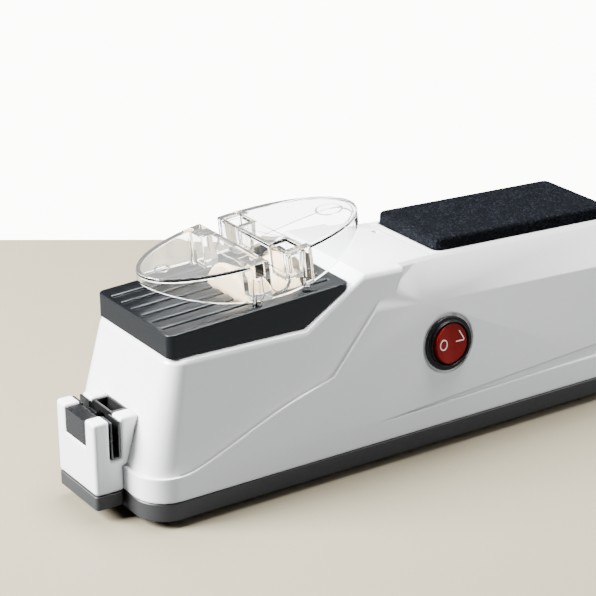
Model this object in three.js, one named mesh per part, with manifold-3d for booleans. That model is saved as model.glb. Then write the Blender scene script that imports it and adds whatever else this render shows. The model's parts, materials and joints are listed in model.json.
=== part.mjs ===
// Electric knife sharpener: a white housing over a grey base tray, a ribbed grinding deck with a
// motor-driven waisted wheel under a clear winged cover, a whetstone on top, a rocker switch on the
// front and a small hand-sharpening unit with crossed carbide blades on the left end.
// Millimetres. X runs along the length, with the hand unit at -X; the switch faces -Y; +Z is up.
// The origin is on the floor, under the middle of the whole length.
import * as THREE from 'three';
import { mergeVertices } from 'three/addons/utils/BufferGeometryUtils.js';
import Module from 'manifold-3d';

const wasm = await Module();
wasm.setup();

// Whole object
const overallLength = 256;
const clearance = 0.3;          // between pieces that touch or slip past one another
const overrun = 4;              // how far a cutting shape passes the face it cuts

// Base tray and feet
const footHeight = 3;
const footRadius = 6;
const footSeatDepth = 0.8;
const footInset = 15;           // from the tray's ends and sides to a foot's centre
const trayHeight = 7.7;
const trayFloor = 2.4;
const trayWall = 2.2;
const trayLip = 3.4;            // the rim that stands up inside the housing
const trayHalfWidth = 35.9;
const trayCorner = 13;

// Housing, lower proud part and upper recessed part
const housingWall = 2.2;
const skirtHeight = 9.7;
const skirtLean = 0.4;
const recessDepth = 1.6;        // how far the upper left part stands back from the skirt
const shoulderHeight = 65.2;    // floor to the shoulder that the deck sits on, at its left end
const shoulderHalfWidth = 30.2;
const shoulderCorner = 7;
const shoulderFillet = 2.2;
const shoulderLean = 12.4;      // how far the left end leans in between skirt and shoulder
const facetHeight = 63.1;       // floor to the lower line of the slanted upper facet
const facetHalfWidth = 32.2;
const topHeight = 80.8;         // floor to the highest point of the top, above the deck's right end
const topHalfWidth = 22.8;
const topFlareHalfWidth = 27.6;
const topFillet = 1.4;
const topCorner = 5;
const rightLean = 6;            // how far the right end leans in up to the facet line
const rightTopLean = 10;        // and up to the top
const topFallShare = 0.0402;    // fall of the top per unit of length towards the right end
const facetFallShare = 0.045;
const deckSeatFallShare = 0.0184;

// Places along the length, from the left end of the whole object
const endUnitReach = 12.4;
const seatKinkPlace = 86.3;     // where the deck's seat starts to climb
const seatTopPlace = 114;       // where the climb meets the top
const flareEndPlace = 154;      // where the top has narrowed to its last width

// Grinding deck
const deckLeftPlace = 26.6;
const deckHalfWidth = 28.1;
const deckLeftHeight = 9.8;     // thickness at the left end
const deckRiseShare = 0.045;
const deckCorner = 3;
const deckEndThickness = 1.3;
const deckWall = 2.4;
const ribCount = 7;
const ribGrooveWidth = 1.5;
const ribGrooveDepth = 1.1;
const ribEndBorder = 2.2;
const ribSideBorder = 0.65;      // from the deck's side to its outermost rib
const ribRightBorder = 5;
const wellHalfWidth = 17;
const wheelSideGap = 1.6;       // between the wheel's rim and the shroud
const wellEndGap = 3.2;         // between the wheel's ends and the well
const wellDepth = 20;
const shroudWall = 1.8;

// Wheel, shaft and motor
const shaftHeight = 67.5;
const shaftRadius = 1.6;
const wheelPlace = 81.5;        // the wheel's middle, from the left end of the whole object
const wheelLength = 26;
const wheelEndRadius = 17;
const wheelWaistRadius = 11.4;
const wheelBore = 5;
const wheelEdge = 1.2;
const colletFlange = 8.5;
const colletFlangeThickness = 1.6;
const motorPlace = 115.4;       // the motor's front face
const motorRadius = 9.2;
const motorLength = 30.8;
const motorBossRadius = 3;
const motorBossLength = 2.2;
const motorRollDepth = 0.8;
const endCapThickness = 4.2;
const endCapBossRadius = 3.6;
const endCapBossLength = 2.4;
const motorTagLength = 5.5;
const motorTagWidth = 2.8;
const motorTagThickness = 0.6;
const motorTagPitch = 12;
const plateThickness = 1.8;
const plateHalfWidth = 10.5;
const plateFoot = 14;
const motorScrewPitch = 12;
const screwHeadRadius = 2.6;
const screwHeadHeight = 1.7;
const screwShankRadius = 1.25;
const motorScrewLength = 5;
const postWidth = 16;
const postThickness = 7;
const bushRadius = 4;
const bushFlangeRadius = 5.4;
const bushFlangeThickness = 1.2;

// Clear cover
const coverPlace = 79;          // its middle
const coverHalfLength = 48.4;
const coverHalfWidth = 26;
const coverTopHeight = 95.2;    // at its middle
const coverMiddleDepth = 16.2;
const coverTipDepth = 4.6;
const coverSlope = 6.3;         // degrees, rising to the right
const coverWall = 1.7;
const coverGapWidth = 8;
const coverGapPlace = 76.4;
const coverGapFloor = 2.2;      // height of the rim left under the gap
const coverPocketLength = 9.2;
const coverPocketWidth = 11.5;
const coverPocketDepth = 13;
const coverPocketTaper = 1.2;
const coverPostLength = 6.4;
const coverPostWidth = 11;
const coverLegReach = 11.2;     // from its middle to a leg, either way along it
const coverLegLength = 3.4;
const coverLegWidth = 2.8;
const coverPegRadius = 1.5;
const coverPegSeat = 2.6;
const coverEndWallDepth = 9;
const coverMarkInset = 8;       // from its tips to the round pads under its top
const coverMarkRadii = [2.8, 5.2];
const coverMarkThickness = 0.5;

// Whetstone
const stonePlace = 154.4;       // its left end
const stoneLength = 90.4;
const stoneHalfWidth = 21;
const stoneThickness = 5.4;
const stoneCorner = 3.4;
const stoneBevel = 0.9;
const stoneSeatDepth = 1.4;
const adhesiveThickness = 0.5;
const adhesiveInset = 3;
const seamPlace = 150.4;
const seamWidth = 0.5;
const seamDepth = 0.5;
const notchPlace = 147;
const notchOffset = 11;
const notchLength = 2.2;
const notchWidth = 3.4;
const notchDepth = 1.4;

// Rocker switch
const switchPlace = 151.3;
const switchHeight = 44.6;
const bezelRadius = 11.3;
const bezelThickness = 1.6;
const collarRadius = 9.5;       // the rim that stands up round the rocker
const collarHeight = 1.2;
const switchBarrel = 9.8;
const switchBarrelLength = 12;
const rockerRadius = 8.3;
const rockerCavityDepth = 6;
const rockerProud = 0.3;
const rockerDish = 0.7;
const rockerTilt = 7;           // degrees, either way from level
const rockerTurn = -11;         // degrees, how far the switch is turned in its hole
const ringRadius = 12.6;
const ringDepth = 0.7;
const tagLength = 8;
const tagWidth = 4.8;
const tagThickness = 0.8;
const tagPitch = 7;

// Grooves along the lower sides
const grooveStartPlace = 116;
const grooveEndPlace = 246;
const grooveStartHeight = 19.2;
const grooveEndLow = 21.6;
const grooveEndHigh = 26.8;
const grooveDepth = 1.1;

// Hand unit on the left end
const unitHalfWidth = 15.3;
const unitTopHeight = 41;
const unitBaseRaise = 2;        // its grey base starts this far above the tray's underside
const unitEdge = 1.6;
const unitSlotPlace = 6.9;      // the slot's left wall
const unitSlotWidth = 4.6;
const unitSlotFloor = 24.4;
const saddleHalfWidth = 7.6;
const saddleDrop = 11;
const saddleSkin = 2.2;
const saddleLow = 0.9;          // the saddle's top lies this far under the posts
const linerWall = 0.8;
const linerDip = 2.8;          // how far the lining's right wall drops between the arms
const holderFloor = 27;
const holderHoleHalfWidth = 6.2;
const holderHoleWall = 1;
const holderLow = 0.5;
const carbideThickness = 1.5;
const carbideHeight = 7.2;
const carbideLength = 7.6;
const carbideTop = 37.4;
const carbideGap = 0.4;
const unitScrewSpacing = 23;
const unitScrewHeight = 30;
const unitScrewLength = 5.5;

// Screws, bosses and the supply
const bossRadius = 3.8;
const bossHole = 1.35;
const bossInset = 13;
const bossSideInset = 13.5;
const baseScrewLength = 12;
const boardInset = 28;          // from the body's right end
const boardLength = 42;
const boardWidth = 30;
const boardThickness = 1.6;
const boardRaise = 5;
const boardPostRadius = 2.6;
const chipHeight = 2.4;
const chipLength = 9;
const capacitorRadius = 4;
const capacitorHeight = 11;
const inletHeight = 26;
const inletRadius = 4.6;
const inletBore = 2.9;
const inletLength = 13;
const inletPinRadius = 0.9;
const inletFlangeRadius = 6.2;
const inletFlangeThickness = 1.2;

// Steps of the round forms
const arcSteps = 6;
const roundSteps = 32;
const smallSteps = 16;

// Worked out from the sizes above
const leftEnd = -overallLength / 2;
const rightEnd = overallLength / 2;
const at = (place) => leftEnd + place;
const trayBottom = footHeight;
const trayTop = trayBottom + trayHeight;
const housingBottom = trayTop + clearance;
const skirtTop = housingBottom + skirtHeight;
const skirtTopHalfWidth = trayHalfWidth - skirtLean;
const bodyLeft = at(endUnitReach);
const bodyRight = rightEnd;
const seatKink = at(seatKinkPlace);
const seatTop = at(seatTopPlace);
const deckLeft = at(deckLeftPlace);
const seatKinkHeight = shoulderHeight - deckSeatFallShare * (seatKink - deckLeft);
const topRight = bodyRight - rightTopLean;
const flareEnd = at(flareEndPlace);

const topAt = (x) => {
  if (x <= seatKink) return shoulderHeight - deckSeatFallShare * (x - deckLeft);
  if (x >= seatTop) return topHeight - topFallShare * (x - seatTop);
  return THREE.MathUtils.mapLinear(x, seatKink, seatTop, seatKinkHeight, topHeight);
};
const topHalfAt = (x) => {
  const narrowing = THREE.MathUtils.smoothstep(x, seatTop, flareEnd);
  return THREE.MathUtils.lerp(topFlareHalfWidth, topHalfWidth, narrowing);
};
const facetAt = (x) => facetHeight - facetFallShare * (x - flareEnd);
const wallLean = Math.atan2(skirtTopHalfWidth - facetHalfWidth, facetHeight - skirtTop);

// Solids and how they are joined
function solid(geometry) {
  const bare = new THREE.BufferGeometry();
  bare.setAttribute('position', geometry.getAttribute('position'));
  if (geometry.index) bare.setIndex(geometry.index);
  const merged = mergeVertices(bare);
  return new wasm.Manifold(new wasm.Mesh({
    numProp: 3,
    vertProperties: new Float32Array(merged.getAttribute('position').array),
    triVerts: new Uint32Array(merged.index.array),
  }));
}

function unite(solids) {
  return solids.reduce((whole, next) => whole.add(next));
}

function carve(body, cuts) {
  return cuts.reduce((whole, cut) => whole.subtract(cut), body);
}

// A solid between stacked rings. Each ring lists its front points from left to right, and then
// its rear points back from right to left, so a cap is a ladder of strips across the width.
function loft(rings) {
  const count = rings[0].length;
  const points = rings.flat();
  const faces = [];
  for (let level = 0; level < rings.length - 1; level += 1) {
    for (let i = 0; i < count; i += 1) {
      const next = (i + 1) % count;
      const low = level * count;
      const high = low + count;
      faces.push(low + i, low + next, high + next, low + i, high + next, high + i);
    }
  }
  const top = (rings.length - 1) * count;
  for (let i = 0; i < count / 2 - 1; i += 1) {
    const far = count - 1 - i;
    faces.push(i, far, far - 1, i, far - 1, i + 1);
    faces.push(top + i, top + far - 1, top + far, top + i, top + i + 1, top + far - 1);
  }
  const geometry = new THREE.BufferGeometry().setFromPoints(points);
  geometry.setIndex(faces);
  return solid(geometry);
}

// A ring round the plan of the body. The half width and the height may change along X.
function planRing({ left, right, half, corner, height, stations }) {
  const front = [];
  for (let i = 0; i <= arcSteps; i += 1) {
    const turn = (Math.PI / 2) * (i / arcSteps);
    front.push([left + corner * (1 - Math.cos(turn)), corner * (1 - Math.sin(turn))]);
  }
  stations.forEach((x) => front.push([x, 0]));
  for (let i = arcSteps; i >= 0; i -= 1) {
    const turn = (Math.PI / 2) * (i / arcSteps);
    front.push([right - corner * (1 - Math.cos(turn)), corner * (1 - Math.sin(turn))]);
  }
  const points = front.map(([x, inset]) => new THREE.Vector3(x, inset - half(x), height(x)));
  const mirrored = points.map((p) => new THREE.Vector3(p.x, -p.y, p.z)).reverse();
  return [...points, ...mirrored];
}

function outline(points) {
  return new THREE.Shape(points.map(([x, y]) => new THREE.Vector2(x, y)));
}

function roundedOutline(x0, x1, y0, y1, radius) {
  const shape = new THREE.Shape();
  shape.moveTo(x0 + radius, y0);
  shape.lineTo(x1 - radius, y0);
  shape.absarc(x1 - radius, y0 + radius, radius, -Math.PI / 2, 0);
  shape.lineTo(x1, y1 - radius);
  shape.absarc(x1 - radius, y1 - radius, radius, 0, Math.PI / 2);
  shape.lineTo(x0 + radius, y1);
  shape.absarc(x0 + radius, y1 - radius, radius, Math.PI / 2, Math.PI);
  shape.lineTo(x0, y0 + radius);
  shape.absarc(x0 + radius, y0 + radius, radius, Math.PI, Math.PI * 1.5);
  return shape;
}

// Prisms: the outline lies in XY, XZ or YZ, and the two places are the ends along the third axis
function prismZ(shape, z0, z1, steps = arcSteps) {
  const geometry = new THREE.ExtrudeGeometry(shape, {
    depth: z1 - z0, bevelEnabled: false, curveSegments: steps,
  });
  return solid(geometry.translate(0, 0, z0));
}

function prismY(shape, y0, y1, steps = arcSteps) {
  const geometry = new THREE.ExtrudeGeometry(shape, {
    depth: y1 - y0, bevelEnabled: false, curveSegments: steps,
  });
  return solid(geometry.rotateX(Math.PI / 2).translate(0, y1, 0));
}

function prismX(shape, x0, x1, steps = arcSteps) {
  const geometry = new THREE.ExtrudeGeometry(shape, {
    depth: x1 - x0, bevelEnabled: false, curveSegments: steps,
  });
  const turn = new THREE.Matrix4().makeBasis(
    new THREE.Vector3(0, 1, 0), new THREE.Vector3(0, 0, 1), new THREE.Vector3(1, 0, 0),
  );
  return solid(geometry.applyMatrix4(turn).translate(x0, 0, 0));
}

function box(x0, x1, y0, y1, z0, z1) {
  const geometry = new THREE.BoxGeometry(x1 - x0, y1 - y0, z1 - z0);
  return solid(geometry.translate((x0 + x1) / 2, (y0 + y1) / 2, (z0 + z1) / 2));
}

// A round form about an axis along X, from pairs of place and radius
function turnedX(profile, steps = roundSteps) {
  const points = profile.map(([place, radius]) => new THREE.Vector2(radius, place));
  const geometry = new THREE.LatheGeometry(points, steps);
  return solid(geometry.rotateZ(-Math.PI / 2));
}

function cylinder(axis, radius, low, high, centre, steps = smallSteps) {
  const geometry = new THREE.CylinderGeometry(radius, radius, high - low, steps);
  geometry.translate(0, (low + high) / 2, 0);
  if (axis === 'x') geometry.rotateZ(-Math.PI / 2).translate(0, centre[0], centre[1]);
  if (axis === 'y') geometry.translate(centre[0], 0, centre[1]);
  if (axis === 'z') geometry.rotateX(Math.PI / 2).translate(centre[0], centre[1], 0);
  return solid(geometry);
}

// A pan-head screw whose head's outer face is at the start and whose shank runs along the axis
function screw(axis, start, direction, shank, centre) {
  const headEnd = start + direction * screwHeadHeight;
  const tip = headEnd + direction * shank;
  const span = (a, b) => [Math.min(a, b), Math.max(a, b)];
  const head = cylinder(axis, screwHeadRadius, ...span(start, headEnd), centre);
  const body = cylinder(axis, screwShankRadius, ...span(start, tip), centre);
  return head.add(body);
}

// Materials
const finish = (colour, roughness, metalness = 0, opacity = 1) => new THREE.MeshStandardMaterial({
  color: colour, roughness, metalness, opacity, transparent: opacity < 1,
});
const white = finish('#eef0f1', 0.25);
const darkGrey = finish('#3c4043', 0.5);
const midGrey = finish('#5a5e60', 0.5);
const clear = finish('#eef2f4', 0.08, 0, 0.3);
const stoneBlack = finish('#191b20', 0.95);
const black = finish('#141415', 0.4);
const red = finish('#9c1a20', 0.35);
const ceramic = finish('#e9e0cc', 0.8);
const rubber = finish('#1c1c1d', 0.9);
const steel = finish('#b9bcc0', 0.3, 1);
const zinc = finish('#9a9da1', 0.4, 1);
const brass = finish('#c9a25a', 0.35, 1);
const bronze = finish('#a8794a', 0.5, 1);
const green = finish('#1e5a3c', 0.5);

const sharpener = new THREE.Group();

function add(name, body, material) {
  const { numProp, vertProperties, triVerts } = body.getMesh();
  const geometry = new THREE.BufferGeometry();
  const positions = new Float32Array((vertProperties.length / numProp) * 3);
  for (let i = 0; i < positions.length / 3; i += 1) {
    for (let k = 0; k < 3; k += 1) positions[i * 3 + k] = vertProperties[i * numProp + k];
  }
  geometry.setAttribute('position', new THREE.BufferAttribute(positions, 3));
  geometry.setIndex([...triVerts]);
  geometry.computeVertexNormals();
  const mesh = new THREE.Mesh(geometry, material);
  mesh.name = name;
  sharpener.add(mesh);
  return mesh;
}

const sides = [-1, 1];

// Places of the screws that hold the tray to the housing, and of the feet
const bossSpots = [bodyLeft + bossInset, bodyRight - rightLean - bossInset].flatMap(
  (x) => sides.map((side) => [x, side * (trayHalfWidth - bossSideInset)]),
);
const footSpots = [bodyLeft + footInset * 2, bodyRight - footInset * 2].flatMap(
  (x) => sides.map((side) => [x, side * (trayHalfWidth - footInset)]),
);

// Stations along X where the rings of the body have points
const stationShares = [0.12, 0.22, 0.36, 0.55, 0.72, 0.88];
const stations = [
  seatKink, seatTop, flareEnd,
  ...stationShares.map((share) => THREE.MathUtils.lerp(bodyLeft, topRight, share)),
].sort((a, b) => a - b);

// A solid between rings round the body, which share the stations that all of them reach
function loftRings(rings) {
  const first = Math.max(...rings.map(({ left, corner }) => left + corner));
  const last = Math.min(...rings.map(({ right, corner }) => right - corner));
  const shared = stations.filter((x) => x > first && x < last);
  return loft(rings.map((ring) => planRing({ ...ring, stations: shared })));
}

const leanAt = (z, low, high, reach) => reach * ((z - low) / (high - low));

function proudBody() {
  const rings = [
    { left: bodyLeft, right: bodyRight, half: () => trayHalfWidth, corner: trayCorner,
      height: () => housingBottom },
    { left: bodyLeft, right: bodyRight - rightLean * (skirtHeight / facetHeight),
      half: () => skirtTopHalfWidth, corner: trayCorner, height: () => skirtTop },
    { left: bodyLeft, right: bodyRight - rightLean, half: () => facetHalfWidth,
      corner: trayCorner - rightLean / 2, height: facetAt },
    { left: bodyLeft, right: topRight + topFillet, half: (x) => topHalfAt(x) + topFillet / 2,
      corner: topCorner, height: (x) => topAt(Math.max(x, seatTop)) - topFillet },
    { left: bodyLeft, right: topRight, half: (x) => topHalfAt(x) - topFillet / 2,
      corner: topCorner, height: (x) => topAt(Math.max(x, seatTop)) },
  ];
  return loftRings(rings);
}

// The recessed upper left part. Its walls lean in, and its top edge is rounded.
const recessLeft = bodyLeft + recessDepth;
const recessHalf = skirtTopHalfWidth - recessDepth;
const wallRun = shoulderHeight - skirtTop;
const recessNarrowing = recessHalf - shoulderHalfWidth;
const recessHalfAt = (z) => recessHalf - leanAt(z, skirtTop, shoulderHeight, recessNarrowing);
const recessLeftAt = (z) => recessLeft + leanAt(z, skirtTop, shoulderHeight, shoulderLean);

function recessedBody() {
  const filletSteps = 4;
  const rings = [
    { z: () => housingBottom, inset: 0, corner: trayCorner - recessDepth },
    { z: () => skirtTop, inset: 0, corner: trayCorner - recessDepth },
  ];
  for (let i = 0; i <= filletSteps; i += 1) {
    const turn = (Math.PI / 2) * (i / filletSteps);
    const drop = shoulderFillet * (1 - Math.sin(turn));
    rings.push({
      z: (x) => topAt(x) - drop, inset: shoulderFillet * (1 - Math.cos(turn)), corner: shoulderCorner,
    });
  }
  return loftRings(rings.map(({ z, inset, corner }) => ({
    left: recessLeftAt(Math.max(z(bodyLeft), skirtTop)) + inset,
    right: flareEnd,
    half: (x) => recessHalfAt(Math.max(z(x), skirtTop)) - inset,
    corner,
    height: z,
  })));
}

// The line on each side where the proud lower part steps back to the recessed upper part:
// along the top of the skirt, up in a long curve, and then steeply to the top
const stepRunShares = [0.055, 0.075, 0.095, 0.123, 0.167, 0.216, 0.265, 0.3];
const stepRiseShares = [0.0, 0.007, 0.03, 0.07, 0.139, 0.219, 0.289, 0.327];
const stepKinkRunShare = 0.345;
const stepKinkRiseShare = 0.373;
const stepTopRunShare = 0.503;
const stepLine = () => {
  const run = bodyRight - bodyLeft;
  const rise = topHeight - skirtTop;
  const points = stepRunShares.map((share, i) => new THREE.Vector2(
    bodyLeft + run * share, skirtTop + rise * stepRiseShares[i],
  ));
  const curve = new THREE.SplineCurve(points);
  const bend = curve.getPoints(arcSteps * 2).map((p) => [p.x, p.y]);
  const kink = [bodyLeft + run * stepKinkRunShare, skirtTop + rise * stepKinkRiseShare];
  return [...bend, kink, [bodyLeft + run * stepTopRunShare, topHeight + overrun]];
};

function housingOuter() {
  const line = stepLine();
  const below = outline([
    [bodyLeft - overrun, 0], [bodyRight + overrun, 0],
    [bodyRight + overrun, topHeight + overrun], ...[...line].reverse(),
    [bodyLeft - overrun, skirtTop],
  ]);
  const above = outline([
    [bodyLeft - overrun, 0], [line[0][0], 0], [line.at(-2)[0], 0],
    [line.at(-1)[0], topHeight + overrun], [bodyLeft - overrun, topHeight + overrun],
  ]);
  const reach = trayHalfWidth + overrun;
  const proud = proudBody().intersect(prismY(below, -reach, reach));
  const recessed = recessedBody().intersect(prismY(above, -reach, reach));
  return proud.add(recessed);
}

function housingInner() {
  const top = (x) => topAt(x) - housingWall;
  const wallTop = (x) => Math.min(top(x) - topFillet, facetAt(x) - housingWall);
  const low = recessHalf - housingWall;
  const high = shoulderHalfWidth - housingWall;
  const rings = [
    { left: recessLeft + housingWall, right: bodyRight - housingWall, half: () => low,
      corner: trayCorner - housingWall, height: () => housingBottom - overrun },
    { left: recessLeft + housingWall, right: bodyRight - housingWall - rightLean / 2, half: () => low,
      corner: trayCorner - housingWall, height: () => skirtTop },
    { left: recessLeftAt(shoulderHeight) + housingWall, right: bodyRight - rightLean - housingWall,
      half: () => high, corner: shoulderCorner, height: wallTop },
    { left: recessLeftAt(shoulderHeight) + housingWall + topFillet, right: topRight - housingWall,
      half: (x) => Math.min(high, topHalfAt(x)) - housingWall, corner: topCorner, height: top },
  ];
  return loftRings(rings);
}

const wheelMiddle = at(wheelPlace);
const wheelLeft = wheelMiddle - wheelLength / 2;
const wheelRight = wheelMiddle + wheelLength / 2;
const wellLeft = wheelLeft - wellEndGap;
const wellRight = wheelRight + wellEndGap;
const shroudHalf = wheelEndRadius + wheelSideGap;
const shroudGap = shroudWall + clearance * 2;
const bearingRight = wellLeft - shroudGap - bushFlangeThickness - clearance;
const bearingLeft = bearingRight - postThickness;
const stoneLeft = at(stonePlace);
const stoneTilt = Math.atan(topFallShare);

// Turns a solid about Y through a point of the top, so that it lies on the falling top
function onTop(body, x, lift = 0) {
  const turned = body.rotate([0, THREE.MathUtils.radToDeg(stoneTilt), 0]);
  return turned.translate([x, 0, topAt(x) + lift]);
}

// Turns a solid made about the origin, with its front along -Y, onto the leaning front wall
const switchX = at(switchPlace);
const switchFaceY = -THREE.MathUtils.mapLinear(
  switchHeight, skirtTop, facetAt(switchX), skirtTopHalfWidth, facetHalfWidth,
);
function onFront(body) {
  const leant = body.rotate([-THREE.MathUtils.radToDeg(wallLean), 0, 0]);
  return leant.translate([switchX, switchFaceY, switchHeight]);
}

function grooveCut(side) {
  const start = at(grooveStartPlace);
  const end = at(grooveEndPlace);
  const wedge = outline([[start, grooveStartHeight], [end, grooveEndLow], [end, grooveEndHigh]]);
  const floor = skirtTopHalfWidth - grooveDepth;
  const far = trayHalfWidth + overrun;
  return side < 0 ? prismY(wedge, -far, -floor) : prismY(wedge, floor, far);
}

const inletX = bodyRight - rightLean * ((inletHeight - housingBottom) / facetHeight);
const unitScrewYs = sides.map((side) => side * (unitScrewSpacing / 2));
const unitWallX = recessLeftAt(unitScrewHeight);
const unitScrewSeat = unitWallX + housingWall + screwHeadRadius * (shoulderLean / wallRun) + clearance;

function upperHousing() {
  const outer = housingOuter();
  const bosses = unite(bossSpots.map(([x, y]) => cylinder(
    'z', bossRadius, housingBottom + trayLip, topHeight, [x, y],
  ))).intersect(outer);
  const shell = outer.subtract(housingInner()).add(bosses);
  const bossHoles = bossSpots.map(([x, y]) => cylinder(
    'z', bossHole + clearance, 0, housingBottom + trayLip + baseScrewLength, [x, y],
  ));
  const wellHalf = shroudHalf + shroudGap;
  const well = box(
    bearingLeft - clearance * 2, wellRight + shroudGap, -wellHalf, wellHalf,
    housingBottom + trayLip, topHeight + overrun,
  );
  const ring = onFront(cylinder('y', ringRadius, -overrun, ringDepth, [0, 0], roundSteps));
  const hole = onFront(cylinder(
    'y', switchBarrel + clearance, -overrun, switchBarrelLength, [0, 0], roundSteps,
  ));
  const bed = onTop(prismZ(
    roundedOutline(
      -clearance, stoneLength + clearance, -stoneHalfWidth - clearance, stoneHalfWidth + clearance,
      stoneCorner,
    ), -stoneSeatDepth, overrun,
  ), stoneLeft);
  const seam = onTop(box(
    -seamWidth / 2, seamWidth / 2, -topHalfWidth, topHalfWidth, -seamDepth, overrun,
  ), at(seamPlace));
  const notch = onTop(box(
    -notchLength / 2, notchLength / 2, notchOffset - notchWidth / 2, notchOffset + notchWidth / 2,
    -notchDepth, overrun,
  ), at(notchPlace));
  const inlet = cylinder(
    'x', inletRadius + clearance, inletX - inletLength, inletX + overrun, [0, inletHeight], smallSteps,
  );
  const unitHoles = unitScrewYs.map((y) => cylinder(
    'x', screwShankRadius + clearance, unitWallX - overrun, unitWallX + overrun, [y, unitScrewHeight],
  ));
  return carve(shell, [
    ...bossHoles, well, ring, hole, bed, seam, notch, inlet, ...unitHoles, ...sides.map(grooveCut),
  ]);
}

function trayOutline(inset) {
  return roundedOutline(
    bodyLeft + inset, bodyRight - inset, inset - trayHalfWidth, trayHalfWidth - inset, trayCorner - inset,
  );
}

const plateX = at(motorPlace) - clearance;

// The tray's rim fits inside the housing's wall, whose corners it follows
function lipOutline(inset) {
  const back = housingWall + clearance + inset;
  const half = recessHalf - back;
  return roundedOutline(
    recessLeft + back, bodyRight - trayLip / 2 - back, -half, half, trayCorner - housingWall - inset,
  );
}

function baseTray() {
  const outside = prismZ(trayOutline(0), trayBottom, trayTop);
  const lip = prismZ(lipOutline(0), trayTop - trayFloor, trayTop + trayLip);
  const hollow = prismZ(lipOutline(trayWall), trayBottom + trayFloor, trayTop + trayLip + overrun);
  const feet = footSpots.map(([x, y]) => cylinder(
    'z', footRadius + clearance, 0, trayBottom + footSeatDepth, [x, y], roundSteps,
  ));
  const postTop = housingBottom + trayLip - clearance;
  const posts = bossSpots.map(([x, y]) => cylinder(
    'z', bossRadius + trayWall / 2, trayBottom + trayFloor / 2, postTop, [x, y],
  ));
  const boardPosts = boardSpots.map(([x, y]) => cylinder(
    'z', boardPostRadius, trayBottom + trayFloor / 2, boardBottom - clearance, [x, y],
  ));
  const heads = bossSpots.map(([x, y]) => cylinder(
    'z', screwHeadRadius + clearance, 0, trayBottom + trayFloor + screwHeadHeight, [x, y],
  ));
  const shanks = bossSpots.map(([x, y]) => cylinder(
    'z', screwShankRadius + clearance, 0, housingBottom + trayLip + overrun, [x, y],
  ));
  const shell = carve(outside.add(lip), [hollow]);
  return carve(unite([shell, ...posts, ...boardPosts]), [...feet, ...heads, ...shanks]);
}

const boardLeft = bodyRight - boardInset - boardLength;
const boardBottom = trayBottom + trayFloor + boardRaise;
const boardPostInset = boardPostRadius * 2;
const boardSpots = [boardLeft + boardPostInset, boardLeft + boardLength - boardPostInset].flatMap(
  (x) => sides.map((side) => [x, side * (boardWidth / 2 - boardPostInset)]),
);

function rubberFoot([x, y]) {
  return cylinder('z', footRadius, 0, trayBottom + footSeatDepth - clearance, [x, y], roundSteps);
}

// Grinding deck: a cap whose underside follows the housing's seat, with ribs divided by grooves,
// an opening for the wheel and a shroud that hangs round the wheel
const deckTopAt = (x) => shoulderHeight + deckLeftHeight + deckRiseShare * (x - deckLeft);
const deckSlope = Math.atan(deckRiseShare);
const seatSlopeShare = (topHeight - seatKinkHeight) / (seatTop - seatKink);
const deckRight = (() => {
  const gapAtKink = deckTopAt(seatKink) - seatKinkHeight - clearance - deckEndThickness;
  return seatKink + gapAtKink / (seatSlopeShare - deckRiseShare);
})();

function deckSide(inset) {
  return outline([
    [deckLeft + inset, topAt(deckLeft) + clearance],
    [seatKink, seatKinkHeight + clearance],
    [deckRight - inset, topAt(deckRight - inset) + clearance],
    [deckRight - inset, deckTopAt(deckRight - inset) - inset],
    [deckLeft + inset, deckTopAt(deckLeft + inset) - inset],
  ]);
}

const ribPitch = (deckHalfWidth - ribSideBorder) * 2 / ribCount;
const grooveYs = Array.from({ length: ribCount - 1 }, (_, i) => (i + 1 - ribCount / 2) * ribPitch);

function ribGroove(y) {
  const start = deckLeft + ribEndBorder;
  const end = deckRight - ribRightBorder;
  const length = (end - start) / Math.cos(deckSlope);
  const half = ribGrooveWidth / 2;
  const shape = roundedOutline(0, length, y - half, y + half, half);
  const cut = prismZ(shape, -ribGrooveDepth, overrun, arcSteps / 2);
  const sloped = cut.rotate([0, -THREE.MathUtils.radToDeg(deckSlope), 0]);
  return sloped.translate([start, 0, deckTopAt(start)]);
}

function pegSpots() {
  return sides.flatMap((end) => sides.map((side) => {
    const reach = end * coverLegReach;
    const half = coverHalfWidth * Math.sqrt(1 - (reach / coverHalfLength) ** 2);
    return [at(coverPlace) + reach, side * (half - coverLegWidth / 2)];
  }));
}

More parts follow.
